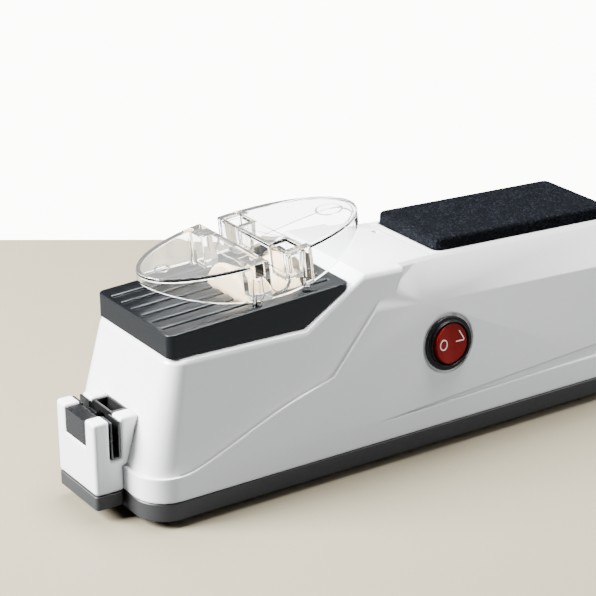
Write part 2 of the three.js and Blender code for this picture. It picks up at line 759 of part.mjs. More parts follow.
function grindingDeck() {
  const plan = roundedOutline(deckLeft, deckRight, -deckHalfWidth, deckHalfWidth, deckCorner);
  const block = prismY(deckSide(0), -deckHalfWidth, deckHalfWidth).intersect(
    prismZ(plan, shoulderHeight - overrun, topHeight + overrun),
  );
  const shroudBottom = shoulderHeight - wellDepth;
  const shroudOuter = shroudHalf + shroudWall;
  const shroud = box(
    wellLeft - shroudWall, wellRight + shroudWall, -shroudOuter, shroudOuter,
    shroudBottom, shoulderHeight + deckWall,
  );
  const under = outline([
    [deckLeft + deckWall, topAt(deckLeft) - overrun],
    [seatKink, seatKinkHeight - overrun],
    [deckRight, topAt(deckRight) - overrun],
    [deckRight, deckTopAt(deckRight) - deckWall * 2],
    [deckLeft + deckWall, deckTopAt(deckLeft) - deckWall],
  ]);
  const underHalf = deckHalfWidth - deckWall;
  const hollow = prismY(under, -underHalf, underHalf);
  const collar = box(
    wellLeft - shroudWall, wellRight + shroudWall, -shroudOuter, shroudOuter,
    shoulderHeight - overrun, topHeight,
  ).intersect(block);
  const well = box(
    wellLeft, wellRight, -wellHalfWidth, wellHalfWidth, shroudBottom - overrun, topHeight + overrun,
  );
  const wheelRoom = box(
    wellLeft, wellRight, -shroudHalf, shroudHalf, shroudBottom - overrun, deckTopAt(wellLeft) - deckWall,
  );
  const shaftWay = box(
    wellLeft - overrun, wellRight + overrun, -shaftRadius - clearance * 2, shaftRadius + clearance * 2,
    shroudBottom - overrun, shaftHeight + shaftRadius + clearance * 2,
  );
  const sockets = pegSpots().map(([x, y]) => cylinder(
    'z', coverPegRadius + clearance, deckTopAt(x) - coverPegSeat, topHeight + overrun, [x, y],
  ));
  const body = block.subtract(hollow).add(collar).add(shroud);
  return carve(body, [well, wheelRoom, shaftWay, ...sockets, ...grooveYs.map(ribGroove)]);
}

// Clear cover: an oval hood with a flat, sloping top. Its lower edge is bowed, so that it is deep
// in the middle and ends in two shallow wings, under which a blade is drawn.
const coverX = at(coverPlace);
const coverGapX = at(coverGapPlace);

function coverSolid(inset, bottomDrop) {
  const plan = new THREE.Shape();
  plan.absellipse(0, 0, coverHalfLength - inset, coverHalfWidth - inset, 0, Math.PI * 2);
  const depthAt = (share) => THREE.MathUtils.lerp(coverMiddleDepth, coverTipDepth, share * share);
  const steps = arcSteps * 2;
  const side = [];
  for (let i = -steps; i <= steps; i += 1) {
    const share = i / steps;
    side.push([coverHalfLength * share, -depthAt(share) - bottomDrop]);
  }
  side.push([coverHalfLength, -inset], [-coverHalfLength, -inset]);
  const tall = prismZ(plan, -coverMiddleDepth * 2, overrun, arcSteps * 4);
  return tall.intersect(prismY(outline(side), -coverHalfWidth, coverHalfWidth));
}

function placeCover(body) {
  return body.rotate([0, -coverSlope, 0]).translate([coverX, 0, coverTopHeight]);
}

function guardCover() {
  const shell = coverSolid(0, 0).subtract(coverSolid(coverWall, overrun));
  const gapLeft = coverGapX - coverX - coverGapWidth / 2;
  const gapRight = gapLeft + coverGapWidth;
  const rimTop = coverGapFloor - coverMiddleDepth;
  const across = coverHalfWidth + overrun;
  const gapRadius = coverGapWidth / 2;
  const gapMiddle = gapLeft + gapRadius;
  const gapBottom = cylinder('y', gapRadius, -across, across, [gapMiddle, rimTop + gapRadius]);
  const gap = box(gapLeft, gapRight, -across, across, rimTop + gapRadius, overrun).add(gapBottom);
  const wallHalf = coverHalfWidth - coverWall / 2;
  const leftWall = box(gapLeft - coverWall, gapLeft, -wallHalf, wallHalf, -coverEndWallDepth, 0);
  const rightWall = box(gapRight, gapRight + coverWall, -wallHalf, wallHalf, -coverEndWallDepth, 0);
  const core = coverSolid(0, 0);
  const posts = sides.map((side) => {
    const outer = side * (coverHalfWidth - coverWall / 2);
    const inner = outer - side * coverPostWidth;
    return box(
      gapLeft - coverPostLength, gapLeft, Math.min(outer, inner), Math.max(outer, inner),
      -coverMiddleDepth * 2, 0,
    ).intersect(core);
  });
  const pockets = sides.map((side) => pocketTub(side, gapRight, 0));
  const holes = sides.map((side) => pocketTub(side, gapRight, coverWall * 0.75));
  const legs = pegSpots().map(([x, y]) => box(
    x - coverX - coverLegLength / 2, x - coverX + coverLegLength / 2,
    y - coverLegWidth, y + coverLegWidth, -coverMiddleDepth, 0,
  ).intersect(core));
  const marks = coverMarkRadii.map((radius, i) => cylinder(
    'z', radius, -coverWall - coverMarkThickness, -coverWall / 2,
    [sides[i] * (coverHalfLength - coverMarkInset - radius / 2), 0], roundSteps,
  ));
  const pegTop = coverTopHeight - coverMiddleDepth / 2;
  const pegs = pegSpots().map(([x, y]) => cylinder(
    'z', coverPegRadius, deckTopAt(x) - coverPegSeat + clearance, pegTop, [x, y],
  ));
  const walls = [leftWall, rightWall].map((wall) => wall.intersect(core));
  const hood = unite([shell, ...marks]).subtract(gap);
  const whole = unite([hood, ...walls, ...posts, ...pockets, ...legs]);
  const wheelRoom = cylinder('x', shroudHalf, wheelLeft, wheelRight, [0, shaftHeight], roundSteps);
  return unite([placeCover(carve(whole, holes)).subtract(wheelRoom), ...pegs]);
}

// One of the two tapered pockets beside the gap, as a solid that is smaller by the inset
function pocketTub(side, left, inset) {
  const top = inset > 0 ? overrun : 0;
  const near = coverHalfWidth - coverWall * 2;
  const ringAt = (z, taper) => {
    const x0 = left + inset + taper / 2;
    const x1 = left + coverPocketLength - inset - taper / 2;
    const y0 = side * (near - coverPocketWidth + inset + taper / 2);
    const y1 = side * (near - inset - taper / 2);
    const [low, high] = [Math.min(y0, y1), Math.max(y0, y1)];
    return [[x0, low], [x1, low], [x1, high], [x0, high]].map(([x, y]) => new THREE.Vector3(x, y, z));
  };
  return loft([ringAt(inset - coverPocketDepth, coverPocketTaper), ringAt(top, 0)]);
}

// Wheel: two cones that meet at a waist, on a flanged collet
function grindingWheel() {
  return turnedX([
    [wheelLeft, wheelBore], [wheelLeft, wheelEndRadius - wheelEdge],
    [wheelLeft + wheelEdge, wheelEndRadius], [wheelMiddle, wheelWaistRadius],
    [wheelRight - wheelEdge, wheelEndRadius], [wheelRight, wheelEndRadius - wheelEdge],
    [wheelRight, wheelBore], [wheelLeft, wheelBore],
  ]).translate([0, 0, shaftHeight]);
}

function wheelCollet() {
  const bore = shaftRadius + clearance;
  const sleeve = wheelBore - clearance;
  const flangeFace = wheelRight + clearance;
  return turnedX([
    [wheelLeft, bore], [wheelLeft, sleeve], [flangeFace, sleeve], [flangeFace, colletFlange],
    [flangeFace + colletFlangeThickness, colletFlange], [flangeFace + colletFlangeThickness, bore],
    [wheelLeft, bore],
  ], smallSteps).translate([0, 0, shaftHeight]);
}

const motorFront = at(motorPlace);
const motorBack = motorFront + motorLength;

function motorShaft() {
  return cylinder('x', shaftRadius, bearingLeft, motorFront + motorLength / 2, [0, shaftHeight]);
}

function motorCan() {
  const inner = motorRadius - motorRollDepth;
  const bore = shaftRadius + clearance;
  const deep = motorFront + motorLength / 2 + clearance;
  const bossFront = motorFront - motorBossLength;
  const can = turnedX([
    [bossFront, bore], [bossFront, motorBossRadius], [motorFront, motorBossRadius],
    [motorFront, inner], [motorFront + motorRollDepth, motorRadius],
    [motorBack - endCapThickness, motorRadius], [motorBack - endCapThickness, 0], [deep, 0],
    [deep, bore], [bossFront, bore],
  ]).translate([0, 0, shaftHeight]);
  const holes = motorScrewSpots.map(([y, z]) => cylinder(
    'x', screwShankRadius + clearance, motorFront - overrun, motorFront + motorScrewLength, [y, z],
  ));
  return carve(can, holes);
}

const motorScrewSpots = sides.map((side) => [side * (motorScrewPitch / 2), shaftHeight]);

function motorEndCap() {
  const front = motorBack - endCapThickness + clearance;
  return turnedX([
    [front, 0], [front, motorRadius - clearance], [motorBack, motorRadius - clearance],
    [motorBack, endCapBossRadius], [motorBack + endCapBossLength, endCapBossRadius],
    [motorBack + endCapBossLength, 0],
  ]).translate([0, 0, shaftHeight]);
}

function motorTag(side) {
  const y = side * (motorTagPitch / 2);
  return box(
    motorBack + clearance, motorBack + clearance + motorTagLength,
    y - motorTagThickness / 2, y + motorTagThickness / 2,
    shaftHeight - motorTagWidth / 2, shaftHeight + motorTagWidth / 2,
  );
}

// Steel angle bracket that carries the motor by its front face
function motorPlate() {
  const back = plateX;
  const front = back - plateThickness;
  const low = trayBottom + trayFloor + clearance;
  const high = shaftHeight + motorRadius - motorRollDepth;
  const upright = prismX(roundedOutline(
    -plateHalfWidth, plateHalfWidth, low, high, plateThickness,
  ), front, back);
  const foot = box(front, front + plateFoot, -plateHalfWidth, plateHalfWidth, low, low + plateThickness);
  const bossHoleCut = cylinder(
    'x', motorBossRadius + clearance, front - overrun, back + overrun, [0, shaftHeight],
  );
  const holes = motorScrewSpots.map((spot) => cylinder(
    'x', screwShankRadius + clearance, front - overrun, back + overrun, spot,
  ));
  const footHoles = plateScrewSpots.map((spot) => cylinder(
    'z', screwShankRadius + clearance, low - overrun, low + overrun, spot,
  ));
  return carve(upright.add(foot), [bossHoleCut, ...holes, ...footHoles]);
}

const plateScrewX = plateX - plateThickness + plateFoot - screwHeadRadius * 2;
const plateScrewSpots = sides.map((side) => [
  plateScrewX, side * (plateHalfWidth - screwHeadRadius * 2),
]);

function bearingPost() {
  const low = trayBottom + trayFloor + clearance;
  const web = outline([
    [-postWidth, low], [postWidth, low], [postWidth / 2, shaftHeight],
    [postWidth / 4, shaftHeight + bushFlangeRadius], [-postWidth / 4, shaftHeight + bushFlangeRadius],
    [-postWidth / 2, shaftHeight],
  ]);
  const bore = cylinder(
    'x', bushRadius + clearance, bearingLeft - overrun, bearingRight + overrun, [0, shaftHeight],
  );
  return prismX(web, bearingLeft, bearingRight).subtract(bore);
}

function shaftBush() {
  const bore = shaftRadius + clearance;
  const flange = bearingRight + clearance;
  return turnedX([
    [bearingLeft, bore], [bearingLeft, bushRadius], [flange, bushRadius], [flange, bushFlangeRadius],
    [flange + bushFlangeThickness, bushFlangeRadius], [flange + bushFlangeThickness, bore],
    [bearingLeft, bore],
  ], smallSteps).translate([0, 0, shaftHeight]);
}

// Whetstone with bevelled edges, and the sheet that bonds it to its bed
function whetstone() {
  const low = adhesiveThickness + clearance * 2 - stoneSeatDepth;
  const high = low + stoneThickness - stoneBevel;
  const ring = (inset, z) => planRing({
    left: inset, right: stoneLength - inset, half: () => stoneHalfWidth - inset,
    corner: stoneCorner - inset, height: () => z, stations: [],
  });
  const body = loft([ring(0, low), ring(0, high), ring(stoneBevel, high + stoneBevel)]);
  return onTop(body, stoneLeft);
}

function stoneAdhesive() {
  const half = stoneHalfWidth - adhesiveInset;
  const sheet = roundedOutline(
    adhesiveInset, stoneLength - adhesiveInset, -half, half, stoneCorner,
  );
  const low = clearance - stoneSeatDepth;
  return onTop(prismZ(sheet, low, low + adhesiveThickness), stoneLeft);
}

// Round rocker switch: a bezel, collar and barrel in one, the rocker in the collar and two tags
const collarFace = ringDepth - bezelThickness - collarHeight;
const rockerPivot = collarFace + rockerCavityDepth / 2;

function switchBody() {
  const back = ringDepth - clearance;
  const front = ringDepth - bezelThickness;
  const bezel = cylinder('y', bezelRadius, front, back, [0, 0], roundSteps);
  const collar = cylinder('y', collarRadius, collarFace, back, [0, 0], roundSteps);
  const barrel = cylinder('y', switchBarrel, front, switchBarrelLength, [0, 0], roundSteps);
  const cavity = cylinder(
    'y', rockerRadius + clearance * 2, collarFace - overrun, collarFace + rockerCavityDepth, [0, 0],
    roundSteps,
  );
  return onFront(unite([bezel, collar, barrel]).subtract(cavity));
}

function switchRocker() {
  const face = collarFace - rockerProud;
  const back = rockerPivot;
  const disc = cylinder('y', rockerRadius, face, back, [0, 0], roundSteps);
  const bend = Math.tan(THREE.MathUtils.degToRad(rockerTilt));
  const reach = rockerRadius * 2;
  const dip = face + rockerDish;
  const vee = outline([
    [-reach, face - overrun], [reach, face - overrun], [reach, dip - reach * bend], [0, dip],
    [-reach, dip - reach * bend],
  ]);
  const dish = prismZ(vee, -reach, reach);
  const keel = cylinder('z', rockerCavityDepth / 4, -rockerRadius / 2, rockerRadius / 2, [0, rockerPivot]);
  const level = disc.subtract(dish).add(keel).translate([0, -rockerPivot, 0]);
  const pressed = level.rotate([0, 0, rockerTilt]).translate([0, rockerPivot, 0]);
  return onFront(pressed.rotate([0, rockerTurn, 0]));
}

function switchTag(side) {
  const x = side * (tagPitch / 2);
  const back = switchBarrelLength + clearance;
  return onFront(box(
    x - tagThickness / 2, x + tagThickness / 2, back, back + tagLength, -tagWidth / 2, tagWidth / 2,
  ));
}

// Hand unit: its block follows the leaning end of the housing and is slotted across for the blade
const unitLeft = leftEnd;
const unitBottom = trayTop + clearance;
const slotLeft = leftEnd + unitSlotPlace;
const slotRight = slotLeft + unitSlotWidth;
const unitFaceAt = (z) => recessLeftAt(z) - clearance;

function unitOutline(inset) {
  const skirtFace = bodyLeft - clearance - inset;
  return outline([
    [unitLeft + inset, unitBottom], [skirtFace, unitBottom], [skirtFace, skirtTop + clearance],
    [unitFaceAt(skirtTop + clearance) - inset, skirtTop + clearance],
    [unitFaceAt(unitTopHeight) - inset, unitTopHeight - inset], [unitLeft + inset, unitTopHeight - inset],
  ]);
}

function unitHousing() {
  const plan = roundedOutline(
    unitLeft, bodyLeft + shoulderLean + unitEdge, -unitHalfWidth, unitHalfWidth, unitEdge,
  );
  const block = prismY(unitOutline(0), -unitHalfWidth, unitHalfWidth).intersect(
    prismZ(plan, 0, unitTopHeight + overrun),
  );
  const reach = unitHalfWidth + overrun;
  const slot = box(slotLeft, slotRight, -reach, reach, unitSlotFloor, unitTopHeight + overrun);
  const wayHalf = saddleHalfWidth + clearance;
  const saddleNotch = box(
    unitLeft - overrun, slotLeft + overrun / 2, -wayHalf, wayHalf,
    unitTopHeight - saddleDrop - clearance, unitTopHeight + overrun,
  );
  const holderWay = box(
    slotRight - overrun / 2, bodyLeft + shoulderLean, -wayHalf, wayHalf,
    holderFloor - clearance, unitTopHeight + overrun,
  );
  const floorTop = unitBottom + trayFloor;
  const under = box(
    unitLeft + housingWall, bodyLeft - housingWall, housingWall - unitHalfWidth,
    unitHalfWidth - housingWall, unitBottom - overrun, unitSlotFloor - floorTop / 2,
  );
  const screwHoles = unitScrewYs.map((y) => cylinder(
    'x', bossHole, slotRight + housingWall, unitWallX + overrun, [y, unitScrewHeight],
  ));
  return carve(block, [slot, saddleNotch, holderWay, under, ...screwHoles]);
}

function unitBase() {
  const low = trayBottom + unitBaseRaise;
  const plan = roundedOutline(unitLeft, bodyLeft - clearance, -unitHalfWidth, unitHalfWidth, unitEdge);
  const plug = box(
    unitLeft + housingWall + clearance, bodyLeft - housingWall - clearance,
    housingWall + clearance - unitHalfWidth, unitHalfWidth - housingWall - clearance,
    trayTop - trayFloor, unitBottom + trayFloor,
  );
  return prismZ(plan, low, trayTop).add(plug);
}

// Half the width of the way that the crossed blades need, and how far past the slot's middle
// each one's tip goes
const bladeWay = carbideThickness + carbideGap + clearance;
const slotMiddle = (slotLeft + slotRight) / 2;
const bladeReach = linerWall + clearance;

// The grey insert: a saddle over the notch between the left posts, and a lining in the slot
function saddleInsert() {
  const top = unitTopHeight - saddleLow;
  const left = unitLeft;
  const innerLeft = slotLeft + clearance;
  const saddle = prismY(outline([
    [left, unitTopHeight - saddleDrop], [innerLeft + linerWall, unitTopHeight - saddleDrop],
    [innerLeft + linerWall, top], [left, top],
  ]), -saddleHalfWidth, saddleHalfWidth);
  const innerRight = slotRight - clearance;
  const floor = unitSlotFloor + clearance;
  const trough = prismY(outline([
    [innerLeft, floor], [innerRight, floor], [innerRight, top], [innerRight - linerWall, top],
    [innerRight - linerWall, floor + linerWall],
    [innerLeft + linerWall, floor + linerWall], [innerLeft + linerWall, top], [innerLeft, top],
  ]), -unitHalfWidth, unitHalfWidth);
  const ribHalf = bladeWay + linerWall;
  const cores = sides.map((side) => box(
    left + saddleSkin, innerLeft - saddleSkin / 2,
    Math.min(side * ribHalf, side * (saddleHalfWidth - saddleSkin)),
    Math.max(side * ribHalf, side * (saddleHalfWidth - saddleSkin)),
    unitTopHeight - saddleDrop - overrun, top - saddleSkin,
  ));
  const dip = box(
    innerRight - linerWall - overrun, innerRight + overrun, -saddleHalfWidth, saddleHalfWidth,
    top - linerDip, top + overrun,
  );
  const bladeRoom = box(
    slotMiddle + bladeReach - carbideLength - clearance, innerLeft + overrun,
    -carbideGap, carbideThickness + carbideGap,
    carbideTop - carbideHeight - clearance, carbideTop + clearance,
  );
  const bladeWindow = box(
    innerLeft - overrun, innerRight + overrun, -bladeWay, bladeWay,
    carbideTop - carbideHeight - clearance, carbideTop + clearance,
  );
  return carve(saddle.add(trough), [...cores, dip, bladeRoom, bladeWindow]);
}

// The frame between the right arms, with an open well through which the blades are seen
const holderLeft = slotRight + clearance;
function carbideHolder() {
  const low = holderFloor;
  const high = unitTopHeight - holderLow;
  const face = (z) => unitFaceAt(z) - clearance;
  const body = prismY(outline([
    [holderLeft, low], [face(low), low], [face(high), high], [holderLeft, high],
  ]), -saddleHalfWidth, saddleHalfWidth);
  const wellFloor = low + holderHoleWall;
  const well = prismY(outline([
    [holderLeft + holderHoleWall, wellFloor], [face(wellFloor) - holderHoleWall, wellFloor],
    [face(high) - holderHoleWall, high], [face(high) - holderHoleWall, high + overrun],
    [holderLeft + holderHoleWall, high + overrun],
  ]), -holderHoleHalfWidth, holderHoleHalfWidth);
  const window = box(
    holderLeft - overrun, holderLeft + overrun, -bladeWay, bladeWay,
    carbideTop - carbideHeight - clearance, carbideTop + clearance,
  );
  return carve(body, [well, window]);
}

// Two carbide plates that cross in the slot. Each reaches in from its own side.
function carbideBlade(side) {
  const tip = slotMiddle + side * bladeReach;
  const root = tip - side * carbideLength;
  const low = carbideTop - carbideHeight;
  const corners = [
    [root, low], [tip, low], [tip, low + carbideThickness], [root, carbideTop],
  ];
  const shape = outline(side > 0 ? corners : [...corners].reverse());
  const y0 = side > 0 ? carbideGap / 2 : -carbideGap / 2 - carbideThickness;
  return prismY(shape, y0, y0 + carbideThickness);
}

function powerBoard() {
  const sheet = box(
    boardLeft, boardLeft + boardLength, -boardWidth / 2, boardWidth / 2,
    boardBottom, boardBottom + boardThickness,
  );
  const top = boardBottom + boardThickness;
  const chip = box(
    boardLeft + chipLength / 2, boardLeft + chipLength * 1.5, -chipLength / 2, chipLength / 2,
    top - boardThickness / 2, top + chipHeight,
  );
  return sheet.add(chip);
}

function boardCapacitor() {
  const foot = boardBottom + boardThickness + clearance;
  return cylinder('z', capacitorRadius, foot, foot + capacitorHeight, [
    boardLeft + boardLength - capacitorRadius * 3, 0,
  ]);
}

function dcInlet() {
  const front = inletX + inletFlangeThickness;
  const start = inletX - inletLength;
  const barrel = cylinder('x', inletRadius, start, front, [0, inletHeight]);
  const flange = cylinder(
    'x', inletFlangeRadius, inletX + clearance * 2, front + clearance, [0, inletHeight],
  );
  const bore = cylinder('x', inletBore, start + housingWall, front + overrun, [0, inletHeight]);
  const pin = cylinder('x', inletPinRadius, start + housingWall / 2, inletX, [0, inletHeight]);
  return barrel.add(flange).subtract(bore).add(pin);
}

// The whole sharpener
add('base_tray', baseTray(), midGrey);
footSpots.forEach((spot, i) => add(`rubber_foot_${i + 1}`, rubberFoot(spot), rubber));
add('upper_housing', upperHousing(), white);
add('grinding_deck', grindingDeck(), darkGrey);
add('guard_cover', guardCover(), clear);
add('grinding_wheel', grindingWheel(), ceramic);
add('wheel_collet', wheelCollet(), brass);
add('motor_shaft', motorShaft(), steel);
add('motor_can', motorCan(), zinc);
add('motor_end_cap', motorEndCap(), black);
sides.forEach((side, i) => add(`motor_tag_${i + 1}`, motorTag(side), brass));
add('motor_plate', motorPlate(), zinc);
const motorScrewStart = plateX - plateThickness - clearance - screwHeadHeight;
motorScrewSpots.forEach((spot, i) => add(
  `motor_screw_${i + 1}`, screw('x', motorScrewStart, 1, motorScrewLength, spot), steel,
));
const plateScrewStart = trayBottom + trayFloor + plateThickness + clearance * 2 + screwHeadHeight;
plateScrewSpots.forEach((spot, i) => add(
  `plate_screw_${i + 1}`, screw('z', plateScrewStart, -1, plateThickness, spot), steel,
));
add('bearing_post', bearingPost(), midGrey);
add('shaft_bush', shaftBush(), bronze);
add('whetstone', whetstone(), stoneBlack);
add('stone_adhesive', stoneAdhesive(), black);
add('switch_body', switchBody(), black);
add('switch_rocker', switchRocker(), red);
sides.forEach((side, i) => add(`switch_tag_${i + 1}`, switchTag(side), brass));
add('unit_housing', unitHousing(), white);
add('unit_base', unitBase(), midGrey);
add('saddle_insert', saddleInsert(), midGrey);
add('carbide_holder', carbideHolder(), darkGrey);
sides.forEach((side, i) => add(`carbide_blade_${i + 1}`, carbideBlade(side), steel));
unitScrewYs.forEach((y, i) => add(
  `unit_screw_${i + 1}`,
  screw('x', unitScrewSeat + screwHeadHeight, -1, unitScrewLength, [y, unitScrewHeight]), steel,
));
bossSpots.forEach((spot, i) => add(
  `base_screw_${i + 1}`,
  screw('z', trayBottom + trayFloor, 1, baseScrewLength, spot), steel,
));
add('power_board', powerBoard(), green);
add('board_capacitor', boardCapacitor(), black);
add('dc_inlet', dcInlet(), black);

export default sharpener;
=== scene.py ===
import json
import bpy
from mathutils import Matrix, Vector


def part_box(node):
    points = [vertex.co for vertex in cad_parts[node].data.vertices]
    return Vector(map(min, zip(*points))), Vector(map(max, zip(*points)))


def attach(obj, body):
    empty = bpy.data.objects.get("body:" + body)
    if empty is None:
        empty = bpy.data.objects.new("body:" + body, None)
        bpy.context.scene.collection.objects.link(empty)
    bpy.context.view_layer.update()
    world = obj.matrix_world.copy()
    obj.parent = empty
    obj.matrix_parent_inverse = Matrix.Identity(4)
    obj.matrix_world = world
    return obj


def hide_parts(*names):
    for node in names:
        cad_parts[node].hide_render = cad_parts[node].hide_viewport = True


bl_info = {
    "name": "Electric knife sharpener",
    "version": (1, 0, 0),
    "blender": (4, 5, 0),
    "location": "View3D > Sidebar > Sharpener",
    "description": "Rounded edges, plastics, a clear cover, grit and studio light for the sharpener",
    "category": "Object",
}

from math import cos, hypot, pi, radians, sin, sqrt

import bmesh
import bpy
from bpy.props import FloatProperty, FloatVectorProperty, PointerProperty
from bpy.types import NodeSocket, Operator, Panel, PropertyGroup
from mathutils import Matrix, Vector
from mathutils.bvhtree import BVHTree

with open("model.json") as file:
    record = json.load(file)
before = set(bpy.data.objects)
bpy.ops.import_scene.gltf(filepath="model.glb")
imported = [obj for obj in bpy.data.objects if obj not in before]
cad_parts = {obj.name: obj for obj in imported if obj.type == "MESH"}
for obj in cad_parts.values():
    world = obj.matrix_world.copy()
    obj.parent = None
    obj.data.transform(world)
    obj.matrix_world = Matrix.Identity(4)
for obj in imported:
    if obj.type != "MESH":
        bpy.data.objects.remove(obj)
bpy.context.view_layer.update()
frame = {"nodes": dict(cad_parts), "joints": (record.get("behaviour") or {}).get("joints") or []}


# Sizes and colours that a user would change

def length(name, default, description):
    return FloatProperty(
        name=name, description=description, default=default, min=0, subtype="DISTANCE", unit="LENGTH",
        precision=5,
    )


def colour(name, default, description):
    return FloatVectorProperty(
        name=name, description=description, default=default, size=3, min=0, max=1, subtype="COLOR",
    )


def share(name, default, description):
    return FloatProperty(
        name=name, description=description, default=default, min=0, max=1, subtype="FACTOR",
    )


def brightness(name, default, description):
    return FloatProperty(name=name, description=description, default=default, min=0)


def power(name, default, description):
    return FloatProperty(name=name, description=description, default=default, min=0, unit="POWER")


class SharpenerEdges(PropertyGroup):
    """How far the edges of the pieces are rounded, and the small forms that are added to them"""
    shell: length("Shell edges", 0.0011, "Radius of the white shell's edges")
    tray: length("Tray edges", 0.0008, "Radius of the base tray's edges")
    foot: length("Foot edges", 0.0006, "Radius of the rubber feet's edges")
    deck: length("Deck edges", 0.0006, "Radius of the grinding deck's edges")
    rib: length("Rib edges", 0.0006, "Radius of the edges of the ribs on the deck")
    rib_crown: length("Rib crowns", 0.0005, "How far the ribs' sides lie below their crowns")
    cover: length("Cover edges", 0.00055, "Radius of the clear cover's edges")
    stone: length("Stone edges", 0.0005, "Radius of the whetstone's edges")
    unit: length("Hand unit edges", 0.0013, "Radius of the edges of the hand unit's white block")
    unit_base: length("Hand unit base edges", 0.0004, "Radius of the edges of the hand unit's base")
    bezel: length("Bezel edge", 0.0004, "Radius of the switch bezel's edges")
    rocker: length("Rocker edges", 0.0003, "Radius of the rocker's edges")
    fine: length("Small edges", 0.0002, "Radius of the edges on small parts")
    thin: length("Thin edges", 0.0001, "Radius of the edges on tags and thin plates")
    mark_stroke: length("Mark stroke", 0.00044, "Stroke of the marks on the rocker")
    mark_height: length("Mark height", 0.00008, "How far the marks stand up from the rocker")


class SharpenerColours(PropertyGroup):
    """The colours of the pieces, of the floor and of the light"""
    shell: colour("White shell", (0.80, 0.81, 0.82), "Glossy white plastic")
    tray: colour("Tray grey", (0.025, 0.0255, 0.0255), "Dark grey plastic of the tray and the unit's base")
    deck: colour("Deck grey", (0.0020, 0.0023, 0.0029), "Near black plastic of the deck")
    insert: colour("Insert grey", (0.0056, 0.0060, 0.0066), "Grey plastic of the saddle in the hand unit")
    cover: colour("Clear cover", (0.975, 0.985, 0.99), "Tint of the clear cover")
    grit: colour("Stone grit", (0.0005, 0.0006, 0.0009), "Body colour of the whetstone")
    grit_spark: colour("Stone sparkle", (0.0135, 0.0153, 0.0220), "Colour of the lighter grains")
    wheel: colour("Wheel", (0.68, 0.52, 0.32), "Body colour of the grinding wheel")
    rocker: colour("Rocker red", (0.19, 0.0060, 0.0050), "Red plastic of the rocker")
    black: colour("Black plastic", (0.0035, 0.0035, 0.004), "Black plastic of the switch and small parts")
    mark: colour("Mark white", (0.82, 0.80, 0.78), "Paint of the marks on the rocker")
    floor: colour("Floor", (0.225, 0.200, 0.143), "Colour of the floor")
    floor_bounce: colour("Floor bounce", (0.108, 0.109, 0.108), "Colour of the light that the floor returns")
    backdrop: colour("Backdrop", (1.0, 0.99, 0.95), "Colour of the light all round")


class SharpenerFinish(PropertyGroup):
    """The roughness and grain of the surfaces, and the strength of the light"""
    shell_roughness: share("Shell roughness", 0.26, "Roughness of the white shell")
    satin_roughness: share("Satin roughness", 0.42, "Roughness of the dark plastics")
    cover_roughness: share("Cover roughness", 0.0, "Roughness of the clear cover")
    grain_strength: share("Grain strength", 0.12, "Strength of the grain on the dark plastics")
    grit_strength: share("Grit strength", 0.9, "Strength of the whetstone's grit")
    ambient: brightness("Ambient light", 0.04, "Brightness of the light all round")
    backdrop: brightness("Backdrop", 12, "Brightness of the backdrop where it is looked at")
    cover_light: brightness("Cover light", 0.9, "Brightness met by rays that turn in the cover")
    cover_shine: brightness("Cover shine", 3.5, "Brightness met by rays that smooth surfaces throw back")
    key: power("Key light", 98, "Power of the soft light at the left")
    top: power("Top light", 44, "Power of the soft light overhead")
    fill: power("Fill light", 1.3, "Power of the soft light in front of the right end")


def edges():
    return bpy.context.scene.sharpener_edges


def colours():
    return bpy.context.scene.sharpener_colours


def finish():
    return bpy.context.scene.sharpener_finish


# Nodes

# The sockets of a Mix node that blends colours: those for other kinds of values come between
MIX_FACTOR, MIX_FIRST, MIX_SECOND, MIX_RESULT = 0, 6, 7, 2


def made_once(collection, name):
    """Wraps a function that makes a material or a node group, so that its first result is kept."""
    def wrap(make):
        def give():
            return getattr(bpy.data, collection).get(name) or make(name)
        return give
    return wrap


def feed(tree, node, values):
    """Feeds a node's inputs: outputs of other nodes are linked, numbers and solid colours are set."""
    for label, value in values.items():
        if isinstance(value, NodeSocket):
            tree.links.new(value, node.inputs[label])
        elif isinstance(value, (int, float)):
            node.inputs[label].default_value = value
        else:
            node.inputs[label].default_value = (*value, 1.0)


def object_place(tree):
    """The place on the piece itself, so that a pattern moves with the piece."""
    return tree.nodes.new("ShaderNodeTexCoord").outputs["Object"]


def noise(tree, place, scale, detail, roughness):
    node = tree.nodes.new("ShaderNodeTexNoise")
    feed(tree, node, {"Vector": place, "Scale": scale, "Detail": detail, "Roughness": roughness})
    return node.outputs["Fac"]


def spread(tree, value, within, onto=(0.0, 1.0)):
    """Stretches the values within one range onto another, past whose ends they are held."""
    node = tree.nodes.new("ShaderNodeMapRange")
    feed(tree, node, {
        "Value": value, "From Min": within[0], "From Max": within[1], "To Min": onto[0], "To Max": onto[1],
    })
    return node.outputs["Result"]


def maths(tree, operation, *values):
    node = tree.nodes.new("ShaderNodeMath")
    node.operation = operation
    feed(tree, node, dict(enumerate(values)))
    return node.outputs[0]


def blend_colours(tree, factor, first, second):
    node = tree.nodes.new("ShaderNodeMix")
    node.data_type = "RGBA"
    feed(tree, node, {MIX_FACTOR: factor, MIX_FIRST: first, MIX_SECOND: second})
    return node.outputs[MIX_RESULT]


def blend_shaders(tree, factor, first, second):
    """Makes a material's surface the first shader where the factor is 0, and the second where it is 1."""
    mix = tree.nodes.new("ShaderNodeMixShader")
    feed(tree, mix, dict(enumerate((factor, first.outputs[0], second.outputs[0]))))
    feed(tree, tree.nodes["Material Output"], {"Surface": mix.outputs[0]})


# Node groups that several materials share

